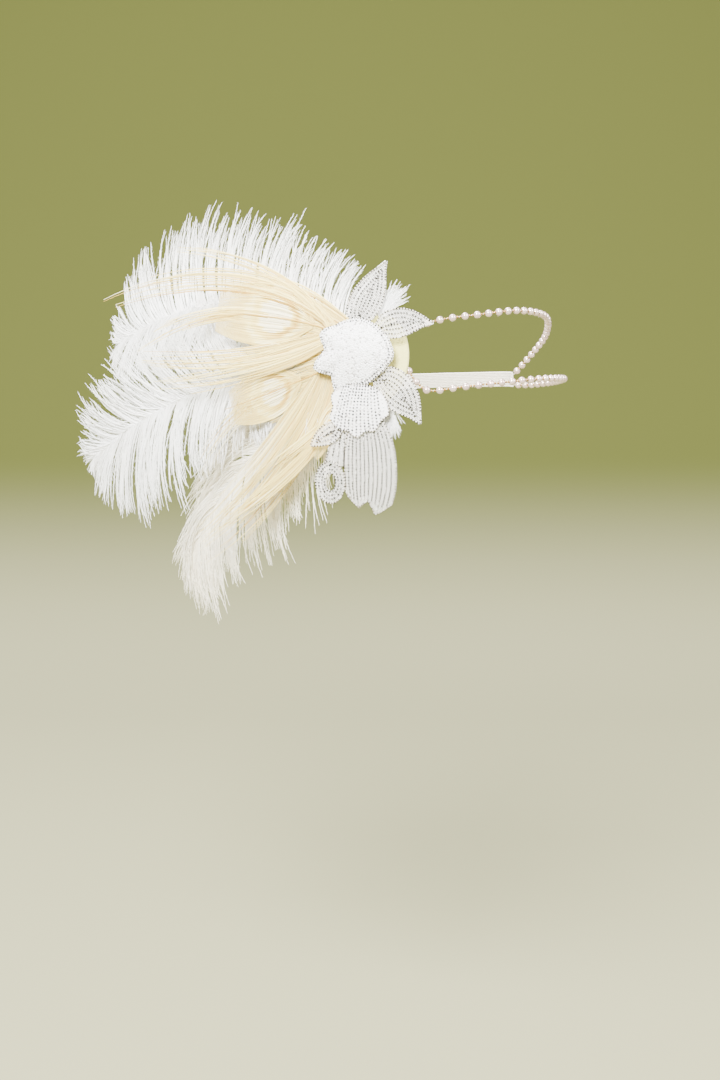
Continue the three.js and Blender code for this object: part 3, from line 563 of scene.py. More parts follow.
def bead_row_tree():
    """Seed beads in rows: one at every pitch along each guide line, turned along it."""
    tree, start = new_tree("Bead rows", {
        "Pitch": (FLOAT, 1.15 * MM),
        "Bead size": (FLOAT, 0.9 * MM),
        "Seed": (INT, 1),
        "Material": (MATERIAL, None),
    })
    shade = add(tree, "GeometryNodeInputNamedAttribute", {"Name": "shade"}, data_type="FLOAT")
    curve = add(tree, "GeometryNodeMeshToCurve", {"Mesh": start})
    spots = add(tree, "GeometryNodeCurveToPoints", {"Curve": curve, "Length": (start, "Pitch")},
                mode="LENGTH")
    turned = add(tree, "FunctionNodeAlignRotationToVector", {"Vector": (spots, "Tangent")}, axis="Z")
    ball = add(tree, "GeometryNodeMeshUVSphere", SEED_BEAD)
    rounded = add(tree, "GeometryNodeSetShadeSmooth", {"Geometry": ball})
    barrel = add(tree, "GeometryNodeTransform", {"Geometry": rounded, "Scale": (1, 1, ROW_BARREL)})
    spread = add(tree, "FunctionNodeRandomValue", {
        "Min": ROW_SIZES[0], "Max": ROW_SIZES[1], "Seed": (start, "Seed")}, data_type="FLOAT")
    size = add(tree, "ShaderNodeMath", {0: (start, "Bead size"), 1: spread}, operation="MULTIPLY")
    beads = add(tree, "GeometryNodeInstanceOnPoints", {
        "Points": spots, "Instance": barrel, "Rotation": turned, "Scale": size})
    chance = add(tree, "FunctionNodeRandomValue", {"Min": 0.0, "Max": 1.0, "Seed": 3},
                 data_type="FLOAT")
    darker = add(tree, "ShaderNodeMath", {0: chance, 1: shade}, operation="POWER")
    toned = add(tree, "GeometryNodeStoreNamedAttribute", {
        "Geometry": beads, "Name": "tone", "Value": darker}, data_type="FLOAT", domain="INSTANCE")
    return end_tree(tree, start, toned)


def bead_pack_tree():
    """Dense seed beads over a dome, none nearer than its spacing, each turned its own way."""
    tree, start = new_tree("Bead pack", {
        "Bead size": (FLOAT, 1.1 * MM),
        "Spacing": (FLOAT, 0.85 * MM),
        "Seed": (INT, 1),
        "Material": (MATERIAL, None),
        "Backing": (MATERIAL, None),
    })
    spots = add(tree, "GeometryNodeDistributePointsOnFaces", {
        "Mesh": start, "Distance Min": (start, "Spacing"), "Density Max": 4.0 / MM ** 2,
        "Seed": (start, "Seed")}, distribute_method="POISSON")
    ball = add(tree, "GeometryNodeMeshUVSphere", SEED_BEAD)
    rounded = add(tree, "GeometryNodeSetShadeSmooth", {"Geometry": ball})
    barrel = add(tree, "GeometryNodeTransform", {"Geometry": rounded, "Scale": (1, 1, PACK_BARREL)})
    turn = add(tree, "FunctionNodeRandomValue", {
        "Min": (-PACK_TILT, -PACK_TILT, 0.0), "Max": (PACK_TILT, PACK_TILT, 6.28), "Seed": 5},
        data_type="FLOAT_VECTOR")
    turned = add(tree, "FunctionNodeRotateRotation", {
        "Rotation": (spots, "Rotation"), "Rotate By": turn}, rotation_space="LOCAL")
    spread = add(tree, "FunctionNodeRandomValue", {
        "Min": PACK_SIZES[0], "Max": PACK_SIZES[1], "Seed": 11}, data_type="FLOAT")
    size = add(tree, "ShaderNodeMath", {0: (start, "Bead size"), 1: spread}, operation="MULTIPLY")
    beads = add(tree, "GeometryNodeInstanceOnPoints", {
        "Points": spots, "Instance": barrel, "Rotation": turned, "Scale": size})
    tone = add(tree, "FunctionNodeRandomValue", {"Min": 0.0, "Max": 1.0, "Seed": 3}, data_type="FLOAT")
    toned = add(tree, "GeometryNodeStoreNamedAttribute", {
        "Geometry": beads, "Name": "tone", "Value": tone}, data_type="FLOAT", domain="INSTANCE")
    real = add(tree, "GeometryNodeRealizeInstances", {"Geometry": toned})
    painted = add(tree, "GeometryNodeSetMaterial", {"Geometry": real, "Material": (start, "Material")})
    backing = add(tree, "GeometryNodeSetMaterial", {
        "Geometry": start, "Material": (start, "Backing")})
    both = add(tree, "GeometryNodeJoinGeometry", {"Geometry": [backing, painted]})
    add(tree, "NodeGroupOutput", {"Geometry": both})
    return tree


def pearl_tree():
    """A strand: a pearl at every pitch, a spacer bead on each side of it, on one thread."""
    tree, start = new_tree("Pearl strand", {
        "Pitch": (FLOAT, PITCH * MM),
        "Pearl radius": (FLOAT, PEARL / 2 * MM),
        "Spacer radius": (FLOAT, 0.62 * MM),
        "Thread radius": (FLOAT, 0.28 * MM),
        "Pearl material": (MATERIAL, None),
        "Spacer material": (MATERIAL, None),
        "Thread material": (MATERIAL, None),
    })
    curve = add(tree, "GeometryNodeMeshToCurve", {"Mesh": start})
    smoothed = add(tree, "GeometryNodeCurveSplineType", {"Curve": curve}, spline_type="CATMULL_ROM")
    fine = add(tree, "GeometryNodeResampleCurve", {"Curve": smoothed, "Length": 1.0 * MM},
               mode="LENGTH")
    length = add(tree, "GeometryNodeCurveLength", {"Curve": fine})
    share = add(tree, "ShaderNodeMath", {0: length, 1: (start, "Pitch")}, operation="DIVIDE")
    count = add(tree, "ShaderNodeMath", {0: share}, operation="FLOOR")
    strung = add(tree, "ShaderNodeMath", {0: count, 1: (start, "Pitch")}, operation="MULTIPLY")
    rest = add(tree, "ShaderNodeMath", {0: length, 1: strung}, operation="SUBTRACT")
    spare = add(tree, "ShaderNodeMath", {0: rest, 1: 0.5}, operation="MULTIPLY")
    index = add(tree, "GeometryNodeInputIndex")
    dots = add(tree, "GeometryNodePoints", {"Count": count})
    parts = []
    for shift, size, fineness in STRUNG:
        turn = add(tree, "ShaderNodeMath", {0: index, 1: shift}, operation="ADD")
        far = add(tree, "ShaderNodeMath", {0: turn, 1: (start, "Pitch"), 2: spare},
                  operation="MULTIPLY_ADD")
        spot = add(tree, "GeometryNodeSampleCurve", {"Curves": fine, "Length": far}, mode="LENGTH")
        strung_dots = add(tree, "GeometryNodeSetPosition", {
            "Geometry": dots, "Position": (spot, "Position")})
        turned = add(tree, "FunctionNodeAlignRotationToVector", {"Vector": (spot, "Tangent")}, axis="Z")
        ball = add(tree, "GeometryNodeMeshUVSphere", {
            "Segments": fineness, "Rings": fineness * 3 // 5, "Radius": (start, f"{size} radius")})
        rounded = add(tree, "GeometryNodeSetShadeSmooth", {"Geometry": ball})
        beads = add(tree, "GeometryNodeInstanceOnPoints", {
            "Points": strung_dots, "Instance": rounded, "Rotation": turned})
        real = add(tree, "GeometryNodeRealizeInstances", {"Geometry": beads})
        parts.append(add(tree, "GeometryNodeSetMaterial", {
            "Geometry": real, "Material": (start, f"{size} material")}))
    ring = add(tree, "GeometryNodeCurvePrimitiveCircle", {
        "Resolution": 6, "Radius": (start, "Thread radius")})
    thread = add(tree, "GeometryNodeCurveToMesh", {
        "Curve": fine, "Profile Curve": ring, "Fill Caps": True})
    parts.append(add(tree, "GeometryNodeSetMaterial", {
        "Geometry": thread, "Material": (start, "Thread material")}))
    joined = add(tree, "GeometryNodeJoinGeometry", {"Geometry": parts})
    add(tree, "NodeGroupOutput", {"Geometry": joined})
    return tree


# Materials

def new_material(name):
    material = bpy.data.materials.new(name)
    material.use_nodes = True
    material.node_tree.nodes.clear()
    return material, material.node_tree


def feather_material(name, shade, light):
    """Ostrich barb: soft matt keratin. Its fine barbules scatter light, so it has no hard gloss."""
    material, tree = new_material(name)
    tone = add(tree, "ShaderNodeAttribute", attribute_name="tone")
    mix = add(tree, "ShaderNodeMix", {"Factor": (tone, "Fac"), "A": shade, "B": light},
              data_type="RGBA")
    shader = add(tree, "ShaderNodeBsdfPrincipled", {
        "Base Color": mix, "Roughness": 0.72, "Specular IOR Level": 0.25, "Sheen Weight": 0.25})
    add(tree, "ShaderNodeOutputMaterial", {"Surface": shader})
    return material


def herl_material(straw, ivory):
    """Bleached peacock herl: smooth flat barbules that give a satin line along each herl."""
    material, tree = new_material("bleached peacock herl")
    tone = add(tree, "ShaderNodeAttribute", attribute_name="tone")
    ramp = add(tree, "ShaderNodeValToRGB", {"Fac": (tone, "Fac")})
    stops = ramp.color_ramp.elements
    # The darkest stop is painted shadow: only the herls painted dark as gaps between herls reach it
    stops[0].position, stops[0].color = 0.0, linear("#6E5220")
    stops[1].position, stops[1].color = 1.0, linear("#FFF5CE")
    stops.new(0.12).color = straw
    stops.new(0.82).color = ivory
    shader = add(tree, "ShaderNodeBsdfPrincipled", {
        "Base Color": (ramp, "Color"), "Roughness": 0.42, "Specular IOR Level": 0.4,
        "Sheen Weight": 0.2})
    add(tree, "ShaderNodeOutputMaterial", {"Surface": shader})
    return material


def mottled(name, patches, shade, light, looks):
    """A solid stuff whose tone wanders from shade to light, with so many patches to the mm."""
    material, tree = new_material(name)
    where = add(tree, "ShaderNodeTexCoord")
    noise = add(tree, "ShaderNodeTexNoise", {"Vector": (where, "Object"), "Scale": patches / MM})
    mix = add(tree, "ShaderNodeMix", {"Factor": noise, "A": shade, "B": light}, data_type="RGBA")
    shader = add(tree, "ShaderNodeBsdfPrincipled", {"Base Color": mix, **looks})
    add(tree, "ShaderNodeOutputMaterial", {"Surface": shader})
    return material


def quill_material():
    """Feather shaft: dense ivory keratin with a low gloss and faint streaks about 1 mm apart."""
    return mottled("ivory quill", 1, linear("#EBDDB4"), linear("#FCF5DC"), {"Roughness": 0.38})


def pearl_material(shade, light):
    """Glass pearl: clear lacquer over pearl paint, whose flakes give glints on a pinkish body, mottled at
    random with a darker painted shade.
    """
    return mottled("lacquered glass pearl", 0.26, shade, light, {
        "Metallic": 0.5, "Roughness": 0.26, "Coat Weight": 1.0, "Coat Roughness": 0.04})


def spacer_material():
    """Gilt spacer bead: thin brass plating, warm and a little dull, worn paler in spots."""
    return mottled("gilt spacer bead", 0.6, linear("#6A4A1E"), linear("#BE9450"), {
        "Metallic": 0.85, "Roughness": 0.28})


def thread_material():
    """Beading thread: two plies of waxed ivory polyester, drawn coarse at about 4 mm a twist."""
    material, tree = new_material("waxed thread")
    where = add(tree, "ShaderNodeTexCoord")
    twist = add(tree, "ShaderNodeTexWave", {"Vector": (where, "Object"), "Scale": 0.26 / MM},
                bands_direction="DIAGONAL")
    mix = add(tree, "ShaderNodeMix", {
        "Factor": (twist, "Fac"), "A": linear("#CFC2A8"), "B": linear("#F4EEE2")}, data_type="RGBA")
    shader = add(tree, "ShaderNodeBsdfPrincipled", {"Base Color": mix, "Roughness": 0.6})
    add(tree, "ShaderNodeOutputMaterial", {"Surface": shader})
    return material


def felt_material():
    """Wool felt: matted fibres with no weave, a soft straw nap with tufts about 1 mm across."""
    material, tree = new_material("pressed wool felt")
    where = add(tree, "ShaderNodeTexCoord")
    nap = add(tree, "ShaderNodeTexNoise", {
        "Vector": (where, "Object"), "Scale": 0.9 / MM, "Detail": 6.0, "Roughness": 0.7})
    mix = add(tree, "ShaderNodeMix", {
        "Factor": nap, "A": linear("#BDB663"), "B": linear("#E8E292")}, data_type="RGBA")
    bump = add(tree, "ShaderNodeBump", {"Strength": 0.6, "Distance": 0.4 * MM, "Height": nap})
    shader = add(tree, "ShaderNodeBsdfPrincipled", {
        "Base Color": mix, "Roughness": 0.95, "Sheen Weight": 0.4, "Normal": bump})
    add(tree, "ShaderNodeOutputMaterial", {"Surface": shader})
    return material


def elastic_material():
    """Woven elastic: ivory yarn over rubber cores, ribbed lengthwise, a weft pick every 0.7 mm."""
    material, tree = new_material("woven elastic")
    along = add(tree, "ShaderNodeAttribute", attribute_name="along")
    picks = add(tree, "ShaderNodeMath", {0: (along, "Fac"), 1: math.tau / 0.7}, operation="MULTIPLY")
    wave = add(tree, "ShaderNodeMath", {0: picks}, operation="SINE")
    half = add(tree, "ShaderNodeMath", {0: wave, 1: 0.5, 2: 0.5}, operation="MULTIPLY_ADD")
    mix = add(tree, "ShaderNodeMix", {
        "Factor": half, "A": linear("#C9BFA9"), "B": linear("#EFE9DA")}, data_type="RGBA")
    bump = add(tree, "ShaderNodeBump", {"Strength": 0.5, "Distance": 0.2 * MM, "Height": half})
    shader = add(tree, "ShaderNodeBsdfPrincipled", {
        "Base Color": mix, "Roughness": 0.8, "Sheen Weight": 0.2, "Normal": bump})
    add(tree, "ShaderNodeOutputMaterial", {"Surface": shader})
    return material


def net_material(colour):
    """Bridal net: fine ivory threads with open cells, drawn coarse at 1.1 mm a cell."""
    material, tree = new_material("ivory net")
    where = add(tree, "ShaderNodeUVMap", uv_map="net")
    spots = add(tree, "ShaderNodeVectorMath", {0: where, "Scale": math.tau / 1.1}, operation="SCALE")
    parts = add(tree, "ShaderNodeSeparateXYZ", {"Vector": spots})
    waves = []
    for direction in ("ADD", "SUBTRACT"):
        slant = add(tree, "ShaderNodeMath", {0: (parts, "X"), 1: (parts, "Y")}, operation=direction)
        waves.append(add(tree, "ShaderNodeMath", {0: slant}, operation="SINE"))
    crossed = add(tree, "ShaderNodeMath", {0: waves[0], 1: waves[1]}, operation="MAXIMUM")
    thread = add(tree, "ShaderNodeMapRange", {
        "Value": crossed, "From Min": 0.5, "From Max": 0.95, "To Min": 0.1, "To Max": 0.85})
    bump = add(tree, "ShaderNodeBump", {"Strength": 0.4, "Distance": 0.2 * MM, "Height": thread})
    shader = add(tree, "ShaderNodeBsdfPrincipled", {
        "Base Color": colour, "Roughness": 0.7, "Sheen Weight": 0.3, "Alpha": thread, "Normal": bump})
    add(tree, "ShaderNodeOutputMaterial", {"Surface": shader})
    return material


def backing_material():
    """Buckram under the dense beads: stiff white cotton that closes the gaps between them."""
    return mottled("white buckram", 1.5, linear("#DEDAD3"), linear("#FFFFFF"), {"Roughness": 0.9})


def bead_material(name, dark, middle, light, metal=0.9):
    """Silver-lined seed bead: clear glass over a mirror core, so bright; its dark flecks are painted shade.
    """
    material, tree = new_material(name)
    tone = add(tree, "ShaderNodeAttribute", attribute_name="tone")
    ramp = add(tree, "ShaderNodeValToRGB", {"Fac": (tone, "Fac")})
    stops = ramp.color_ramp.elements
    stops[0].position, stops[0].color = 0.0, dark
    stops[1].position, stops[1].color = 1.0, light
    halfway = stops.new(0.3)
    halfway.color = middle
    core = add(tree, "ShaderNodeMapRange", {
        "Value": (tone, "Fac"), "From Min": 0.0, "From Max": 0.35, "To Min": metal, "To Max": 0.0})
    shader = add(tree, "ShaderNodeBsdfPrincipled", {
        "Base Color": (ramp, "Color"), "Metallic": core, "Roughness": 0.2, "Coat Weight": 0.35,
        "Coat Roughness": 0.05})
    add(tree, "ShaderNodeOutputMaterial", {"Surface": shader})
    return material


def paper_material(floor, wall):
    """Painted studio paper: matt, from the floor's colour to the wall's as it rises."""
    material, tree = new_material("studio paper")
    where = add(tree, "ShaderNodeTexCoord")
    parts = add(tree, "ShaderNodeSeparateXYZ", {"Vector": (where, "Object")})
    height = add(tree, "ShaderNodeMapRange", {
        "Value": (parts, "Z"), "From Min": FLOOR_LEVEL, "From Max": FLOOR_LEVEL + WALL_RISE},
        interpolation_type="SMOOTHSTEP")
    mix = add(tree, "ShaderNodeMix", {"Factor": height, "A": floor, "B": wall}, data_type="RGBA")
    shader = add(tree, "ShaderNodeBsdfPrincipled", {"Base Color": mix, "Roughness": 0.9})
    add(tree, "ShaderNodeOutputMaterial", {"Surface": shader})
    return material


# Settings

def thickness(name, description, size, least, most):
    """A setting for a small length, given in mm."""
    return bpy.props.FloatProperty(
        name=name, description=description, default=size * MM, min=least * MM, max=most * MM,
        subtype="DISTANCE", precision=5)


def tint(name, description, hex_colour):
    """A setting for a colour."""
    return bpy.props.FloatVectorProperty(
        name=name, description=description, size=4, subtype="COLOR", default=linear(hex_colour),
        min=0, max=1)


class StrandSettings(bpy.types.PropertyGroup):
    spacer_radius: thickness("Spacer radius", "Radius of the gilt beads between the pearls", 0.62, 0.2, 1.5)
    pearl: tint("Pearl", "Light colour of the pearls", "#EBD6CB")
    # The pearl shade is painted shade: a darker body colour that stands in for the pearls' shading
    pearl_painted_shade: tint("Pearl shade", "Pinkish shade of the pearls", "#B8968A")


class FeatherSettings(bpy.types.PropertyGroup):
    barbs_a_side: bpy.props.IntProperty(
        name="Barbs a side", description="Barbs on each side of an ostrich quill",
        default=330, min=40, max=400)
    barbules: bpy.props.IntProperty(
        name="Barbules", description="Barbules on one ostrich plume", default=37000, min=1000)
    barb_thickness: thickness("Barb thickness", "Thickness of an ostrich barb at its root", 0.66, 0.1, 1.5)
    barbule_length: thickness("Barbule length", "Longest barbule on an ostrich barb", 2.6, 0.5, 8)
    herl_pitch: thickness("Herl pitch", "Space between peacock herls", 0.46, 0.3, 2)
    white: tint("White", "Light colour of the white plumes", "#FFFFFD")
    cream: tint("Cream", "Light colour of the cream plume", "#FFFAEA")
    straw: tint("Straw", "Darker colour of the peacock herls", "#CB9B2E")
    ivory: tint("Ivory", "Lighter colour of the peacock herls", "#FCE88C")


class FlowerSettings(bpy.types.PropertyGroup):
    row_bead: thickness("Row bead", "Diameter of the beads in the petals' rows", 1.05, 0.5, 2)
    row_pitch: thickness("Row pitch", "Space from bead to bead along a row", 1.45, 0.6, 3)
    row_spacing: thickness("Row spacing", "Space between the rows of a petal", 2.2, 1, 5)
    pack_bead: thickness("Centre bead", "Diameter of the beads in the dense centres", 1.1, 0.6, 3)
    net: tint("Net", "Colour of the petals' net", "#F7F3EC")


class StageSettings(bpy.types.PropertyGroup):
    floor: tint("Floor", "Colour of the floor", "#8B8968")
    wall: tint("Wall", "Colour of the backdrop", "#484C14")
    key_power: bpy.props.FloatProperty(
        name="Key light", description="Power of the key light",
        default=165.0, min=0.0, max=500.0, unit="POWER")


# Pieces

def keep(piece, node):
    """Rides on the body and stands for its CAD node."""
    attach(piece, "root")
    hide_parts(node)


def catmull(points, share):
    """A point on a smooth curve through the given ones."""
    spot = share * (len(points) - 1)
    low = min(int(spot), len(points) - 2)
    part = spot - low
    before, a = points[max(low - 1, 0)], points[low]
    b, after = points[low + 1], points[min(low + 2, len(points) - 1)]
    return (a * 2 + (b - before) * part + (before * 2 - a * 5 + b * 4 - after) * part ** 2
            + (a * 3 - before - b * 3 + after) * part ** 3) * 0.5


class HEADBAND_OT_strands(bpy.types.Operator):
    """Strings the pearls and spacer beads of both strands"""
    bl_idname = "headband.strands"
    bl_label = "Pearl strands"

    def execute(self, context):
        settings = context.scene.headband_strands
        tree = pearl_tree()
        finishes = {
            "Pearl material": pearl_material(tuple(settings.pearl_painted_shade), tuple(settings.pearl)),
            "Spacer material": spacer_material(),
            "Thread material": thread_material(),
            "Spacer radius": settings.spacer_radius,
        }
        for name, route in STRANDS.items():
            points = [on_loop(turn, level * CROWN_RISE, STRAND_LIFT) for turn, level in route]
            guide = guide_lines(f"guide strand {name}", [{"points": points}])
            piece = grow(f"strand_{name}_pearls", guide, tree, finishes)
            keep(piece, f"pearl_strand_{name}")
        return {"FINISHED"}


class HEADBAND_OT_elastic(bpy.types.Operator):
    """Lays the flat woven band: ribs over its rubber cores, and a zigzag seam at each end"""
    bl_idname = "headband.elastic"
    bl_label = "Back elastic"

    def execute(self, context):
        middle = [on_loop(turn, level * CROWN_RISE, lift * TUCK_LIFT + ELASTIC_THICKNESS / 2)
                  for turn, level, lift in ELASTIC]
        steps = ELASTIC_STEPS
        path = [catmull(middle, step / steps) for step in range(steps + 1)]
        ups, outs, far = [], [], [0.0]
        for step, point in enumerate(path):
            tangent = (path[min(step + 1, steps)] - path[max(step - 1, 0)]).normalized()
            outs.append(tangent.cross(Vector((0, 0, 1))).normalized())
            ups.append(outs[-1].cross(tangent))
            far.append(far[-1] + (point - path[max(step - 1, 0)]).length)
        lines = []
        for rib in range(RIBS):
            across = (rib / (RIBS - 1) - 0.5) * (ELASTIC_WIDTH - 2 * RIB_RADIUS)
            lines.append({
                "points": [point + up * across for point, up in zip(path, ups)],
                "radius": RIB_RADIUS * MM, "along": far[1:]})
        for first, onward in ((0, 1), (steps, -1)):
            seam = []
            for stitch in range(SEAM_STITCHES):
                at = first + onward * (1 + stitch // 2)
                side = (-1) ** stitch * SEAM_WIDTH * ELASTIC_WIDTH
                seam.append(path[at] + ups[at] * side + outs[at] * RIB_RADIUS * SEAM_STAND)
            lines.append({"points": seam, "radius": SEAM_THREAD * MM, "along": 0.0})
        piece = grow("elastic_band", guide_lines("guide elastic", lines), tube_tree(), {
            "Sides": 8, "Material": elastic_material()})
        keep(piece, "back_elastic")
        return {"FINISHED"}


def ring_faces(rings, spokes):
    """Faces of a closed shell: a pole, rings of spots, and a second pole."""
    faces, last = [], 1 + (rings - 1) * spokes
    for spoke in range(spokes):
        after = (spoke + 1) % spokes
        faces.append((0, 1 + spoke, 1 + after))
        for a in range(1, last, spokes):
            b = a + spokes
            faces.append((a + spoke, b + spoke, b + after, a + after))
        faces.append((last + spoke, last + spokes, last + after))
    return faces


class HEADBAND_OT_felt(bpy.types.Operator):
    """Cuts the felt oval: a plate with rounded edges and a slightly uneven nap"""
    bl_idname = "headband.felt"
    bl_label = "Felt backing"

    def execute(self, context):
        rings, spokes = 10, 72
        flat_rings = [ring / rings * FELT_FLAT for ring in range(1, rings + 1)]
        profile = [(0.0, 1.0)] + [(reach, 1.0) for reach in flat_rings] + FELT_EDGE
        profile += [(reach, 0.0) for reach in reversed(flat_rings)] + [(0.0, 0.0)]
        draw = random.Random(4)
        points = []
        for reach, height in profile:
            for spoke in range(spokes if reach else 1):
                angle = spoke / spokes * math.tau
                nap = draw.uniform(-FELT_NAP, FELT_NAP)
                points.append(place(
                    FELT["u"] + FELT["halfWidth"] * reach * math.cos(angle),
                    FELT["v"] + FELT["halfHeight"] * reach * math.sin(angle),
                    FELT["lift"] + height * FELT_THICKNESS + nap, FLOWER_DRAPE) * MM)
        mesh = bpy.data.meshes.new("felt_oval")
        mesh.from_pydata(points, [], ring_faces(len(profile) - 2, spokes))
        mesh.materials.append(felt_material())
        mesh.shade_smooth()
        piece = link_object("felt_oval", mesh)
        keep(piece, "felt_backing")
        return {"FINISHED"}


def row_values(rows, share):
    """Angle, curl and length of a barb at a share of the quill, between and past its rows."""
    knots = []
    for begin, end, angle, end_angle, curl, length, end_length, fullness in rows:
        for part in (0.0, 0.25, 0.5, 0.75, 1.0):
            knots.append((lerp(begin, end, part), lerp(angle, end_angle, part), curl,
                          lerp(length, end_length, part ** fullness) * BARB))
    if share <= knots[0][0]:
        return knots[0][1:]
    for a, b in zip(knots, knots[1:]):
        if share <= b[0]:
            part = (share - a[0]) / max(b[0] - a[0], 1e-6)
            return tuple(lerp(x, y, part) for x, y in zip(a[1:], b[1:]))
    return knots[-1][1:]


def plume_lock(spec, rows, stations, first, count, settings, draw):
    """One lock of neighbouring barbs whose tips draw together. The tip's barbs are short."""
    lean, reach = draw.uniform(-LOCK_LEAN, LOCK_LEAN), draw.uniform(*LOCK_REACH)
    lift, tone, gather = draw.uniform(-1, 1), draw.uniform(*LOCK_TONE), draw.uniform(*GATHER)
    paths = []
    for member in range(count):
        share = (first + member + draw.random()) / settings.barbs_a_side
        share = min(lerp(FIRST_BARB, 1, share), LAST_BARB)
        angle, curl, length = row_values(rows, share)
        closing = 1 - TIP_CLOSING * max(0, (share - TIP_START) / (1 - TIP_START))
        stray = draw.uniform(-STRAY, STRAY) * (WILD_STRAY if draw.random() < WILD_BARBS else 1)
        u, v, heading = station_at(stations, share)
        paths.append(walk(
            u, v, heading + angle * closing + lean + stray, curl * draw.uniform(*BARB_CURL),
            length * closing * reach * draw.uniform(*BARB_REACH), 1.0, BARB_STEPS))
    barbs, middle = [], paths[count // 2]
    for path in paths:
        wave, phase = draw.uniform(*BARB_WAVE), draw.uniform(0, 6.28)
        hook, own_lift = draw.uniform(-BARB_HOOK, BARB_HOOK), draw.uniform(-1, 1)
        points, across = [], []
        for (share, u, v, heading), (_, mid_u, mid_v, _) in zip(path, middle):
            pull = gather * share ** GATHER_POWER
            u, v = lerp(u, mid_u, pull), lerp(v, mid_v, pull)
            sway = wave * share * math.sin(phase + share * WAVE_RATE) + hook * share ** HOOK_POWER
            turn = math.radians(heading + 90)
            u += sway * math.cos(turn)
            v += sway * math.sin(turn)
            rise = (lift * LOCK_RISE + own_lift * BARB_RISE) * (ROOT_RISE + share)
            rise += TIP_RISE * share ** 2 * lift
            points.append(place(u, v, layer_lift(spec["layer"], u, v) + rise, FEATHERS_DRAPE))
            across.append(ALONG_U * math.cos(turn) + ALONG_V * math.sin(turn))
        shares = [step / BARB_STEPS for step in range(BARB_STEPS + 1)]
        barbs.append({
            "points": points,
            "across": across,
            "radius": [settings.barb_thickness / 2 * shape_at(BARB_TAPER, share) for share in shares],
            "fluff": [settings.barbule_length * shape_at(FLUFF, share) for share in shares],
            "tone": min(max(tone + draw.uniform(-BARB_TONE, BARB_TONE), 0), 1),
        })
    return barbs


def shaft_line(stations, layer, lift, thick, thin):
    """A feather's tapering shaft along its stations, at a lift from its layer."""
    return {
        "points": [place(u, v, layer_lift(layer, u, v) + lift, FEATHERS_DRAPE)
                   for _, u, v, _ in stations],
        "radius": [lerp(thick, thin, share) / 2 * MM for share, *_ in stations],
    }


class HEADBAND_OT_plumes(bpy.types.Operator):
    """Dresses the three ostrich plumes with barbs and barbules"""
    bl_idname = "headband.plumes"
    bl_label = "Ostrich plumes"

    def execute(self, context):
        settings = context.scene.headband_feathers
        white = feather_material("ostrich barb white", linear("#F6F4EE"), tuple(settings.white))
        cream = feather_material("ostrich barb cream", linear("#F6ECD2"), tuple(settings.cream))
        fibres, tubes, quill = fibre_tree(), tube_tree(), quill_material()
        for seed, (name, spec) in enumerate(PLUMES.items()):
            draw = random.Random(31 + seed)
            stations = walk(QUILL_ROOT_U, QUILL_TOP_V - spec["v"] * QUILL_SPACING, spec["heading"],
                            spec["turn"], spec["length"] * SPRAY, spec["late"], 24, 1.2)
            barbs = []
            for rows in spec["sides"].values():
                first = 0
                while first < settings.barbs_a_side:
                    count = draw.randint(*LOCK_SIZES)
                    barbs += plume_lock(spec, rows, stations, first, count, settings, draw)
                    first += count
            far = sum((b - a).length for barb in barbs
                      for a, b in zip(barb["points"], barb["points"][1:]))
            vane = grow(f"plume_{name}_vane", guide_lines(f"guide plume {name}", barbs), fibres, {
                "Material": cream if name == "lower" else white,
                "Barbule spacing": far / settings.barbules * MM, "Seed": seed})
            shaft = shaft_line(stations, spec["layer"], -QUILL_SINK, QUILL, QUILL_END)
            core = grow(f"plume_{name}_quill", guide_lines("guide quill", [shaft]), tubes,
                        {"Sides": 8, "Material": quill})
            keep(join_pieces(f"plume_{name}", [vane, core]), f"ostrich_plume_{name}")
        return {"FINISHED"}


def herl_strip(stations, width, shape, layer, settings, draw, tone_at, fray=0.0, shortest=1.0,
               lift=0.0):
    """Fine herls side by side that fill one flat strip, their tips freed by the fray."""
    pitch = settings.herl_pitch / MM
    count = max(3, round(width / pitch))
    lines = []
    for index in range(count):
        side = (index + 0.5) / count * 2 - 1
        loose, last = draw.uniform(-1, 1) * fray, draw.uniform(shortest, 1.0)
        own_lift = lift + draw.uniform(-HERL_RISE, HERL_RISE)
        streak_and_shadow_gap = draw.uniform(-HERL_STREAK, HERL_STREAK)
        streak_and_shadow_gap = streak_and_shadow_gap if fray else streak_and_shadow_gap * EYE_STREAK
        # A few herls are painted dark: painted shadow standing in for the gaps between herls
        if fray and draw.random() < SHADOW_GAP_HERLS:
            streak_and_shadow_gap = SHADOW_GAP_SHIFT
        line = {"points": [], "radius": [], "tone": [], "outward": []}
        for share, u, v, heading in stations:
            if share > last and len(line["points"]) > 2:
                break
            across = (side + loose * share ** 3) * width / 2 * shape_at(shape, share)
            angle = math.radians(heading)
            u, v = u - across * math.sin(angle), v + across * math.cos(angle)
            line["points"].append(place(u, v, layer_lift(layer, u, v) + own_lift, FEATHERS_DRAPE))
            line["radius"].append(
                pitch * HERL_BREADTH * MM * lerp(1, HERL_TIP, (share / last) ** 3)
                * max(shape_at(shape, share), HERL_SLIMMEST))
            tone = tone_at(share, side) + streak_and_shadow_gap + draw.uniform(-HERL_GRAIN, HERL_GRAIN)
            line["tone"].append(min(max(tone, 0), 1))
            line["outward"].append(OUTWARD.copy())
        lines.append(line)
    return lines


def eye_tone(share, side):
    """Zones of the eye: a pale heart, a straw crescent on its root side and an ivory rim."""
    from_heart = math.hypot((share - HEART_AT) / HEART_LONG, side / HEART_BROAD)
    if from_heart < HEART_EDGE:
        return 1
    if from_heart < CRESCENT_EDGE:
        return lerp(0.2, 0.7, smooth((share - 0.2) / 0.35))
    return 0.86 if from_heart < RIM_EDGE else 0.6


def herl_tone(share, side):
    return 0.6 + 0.24 * share


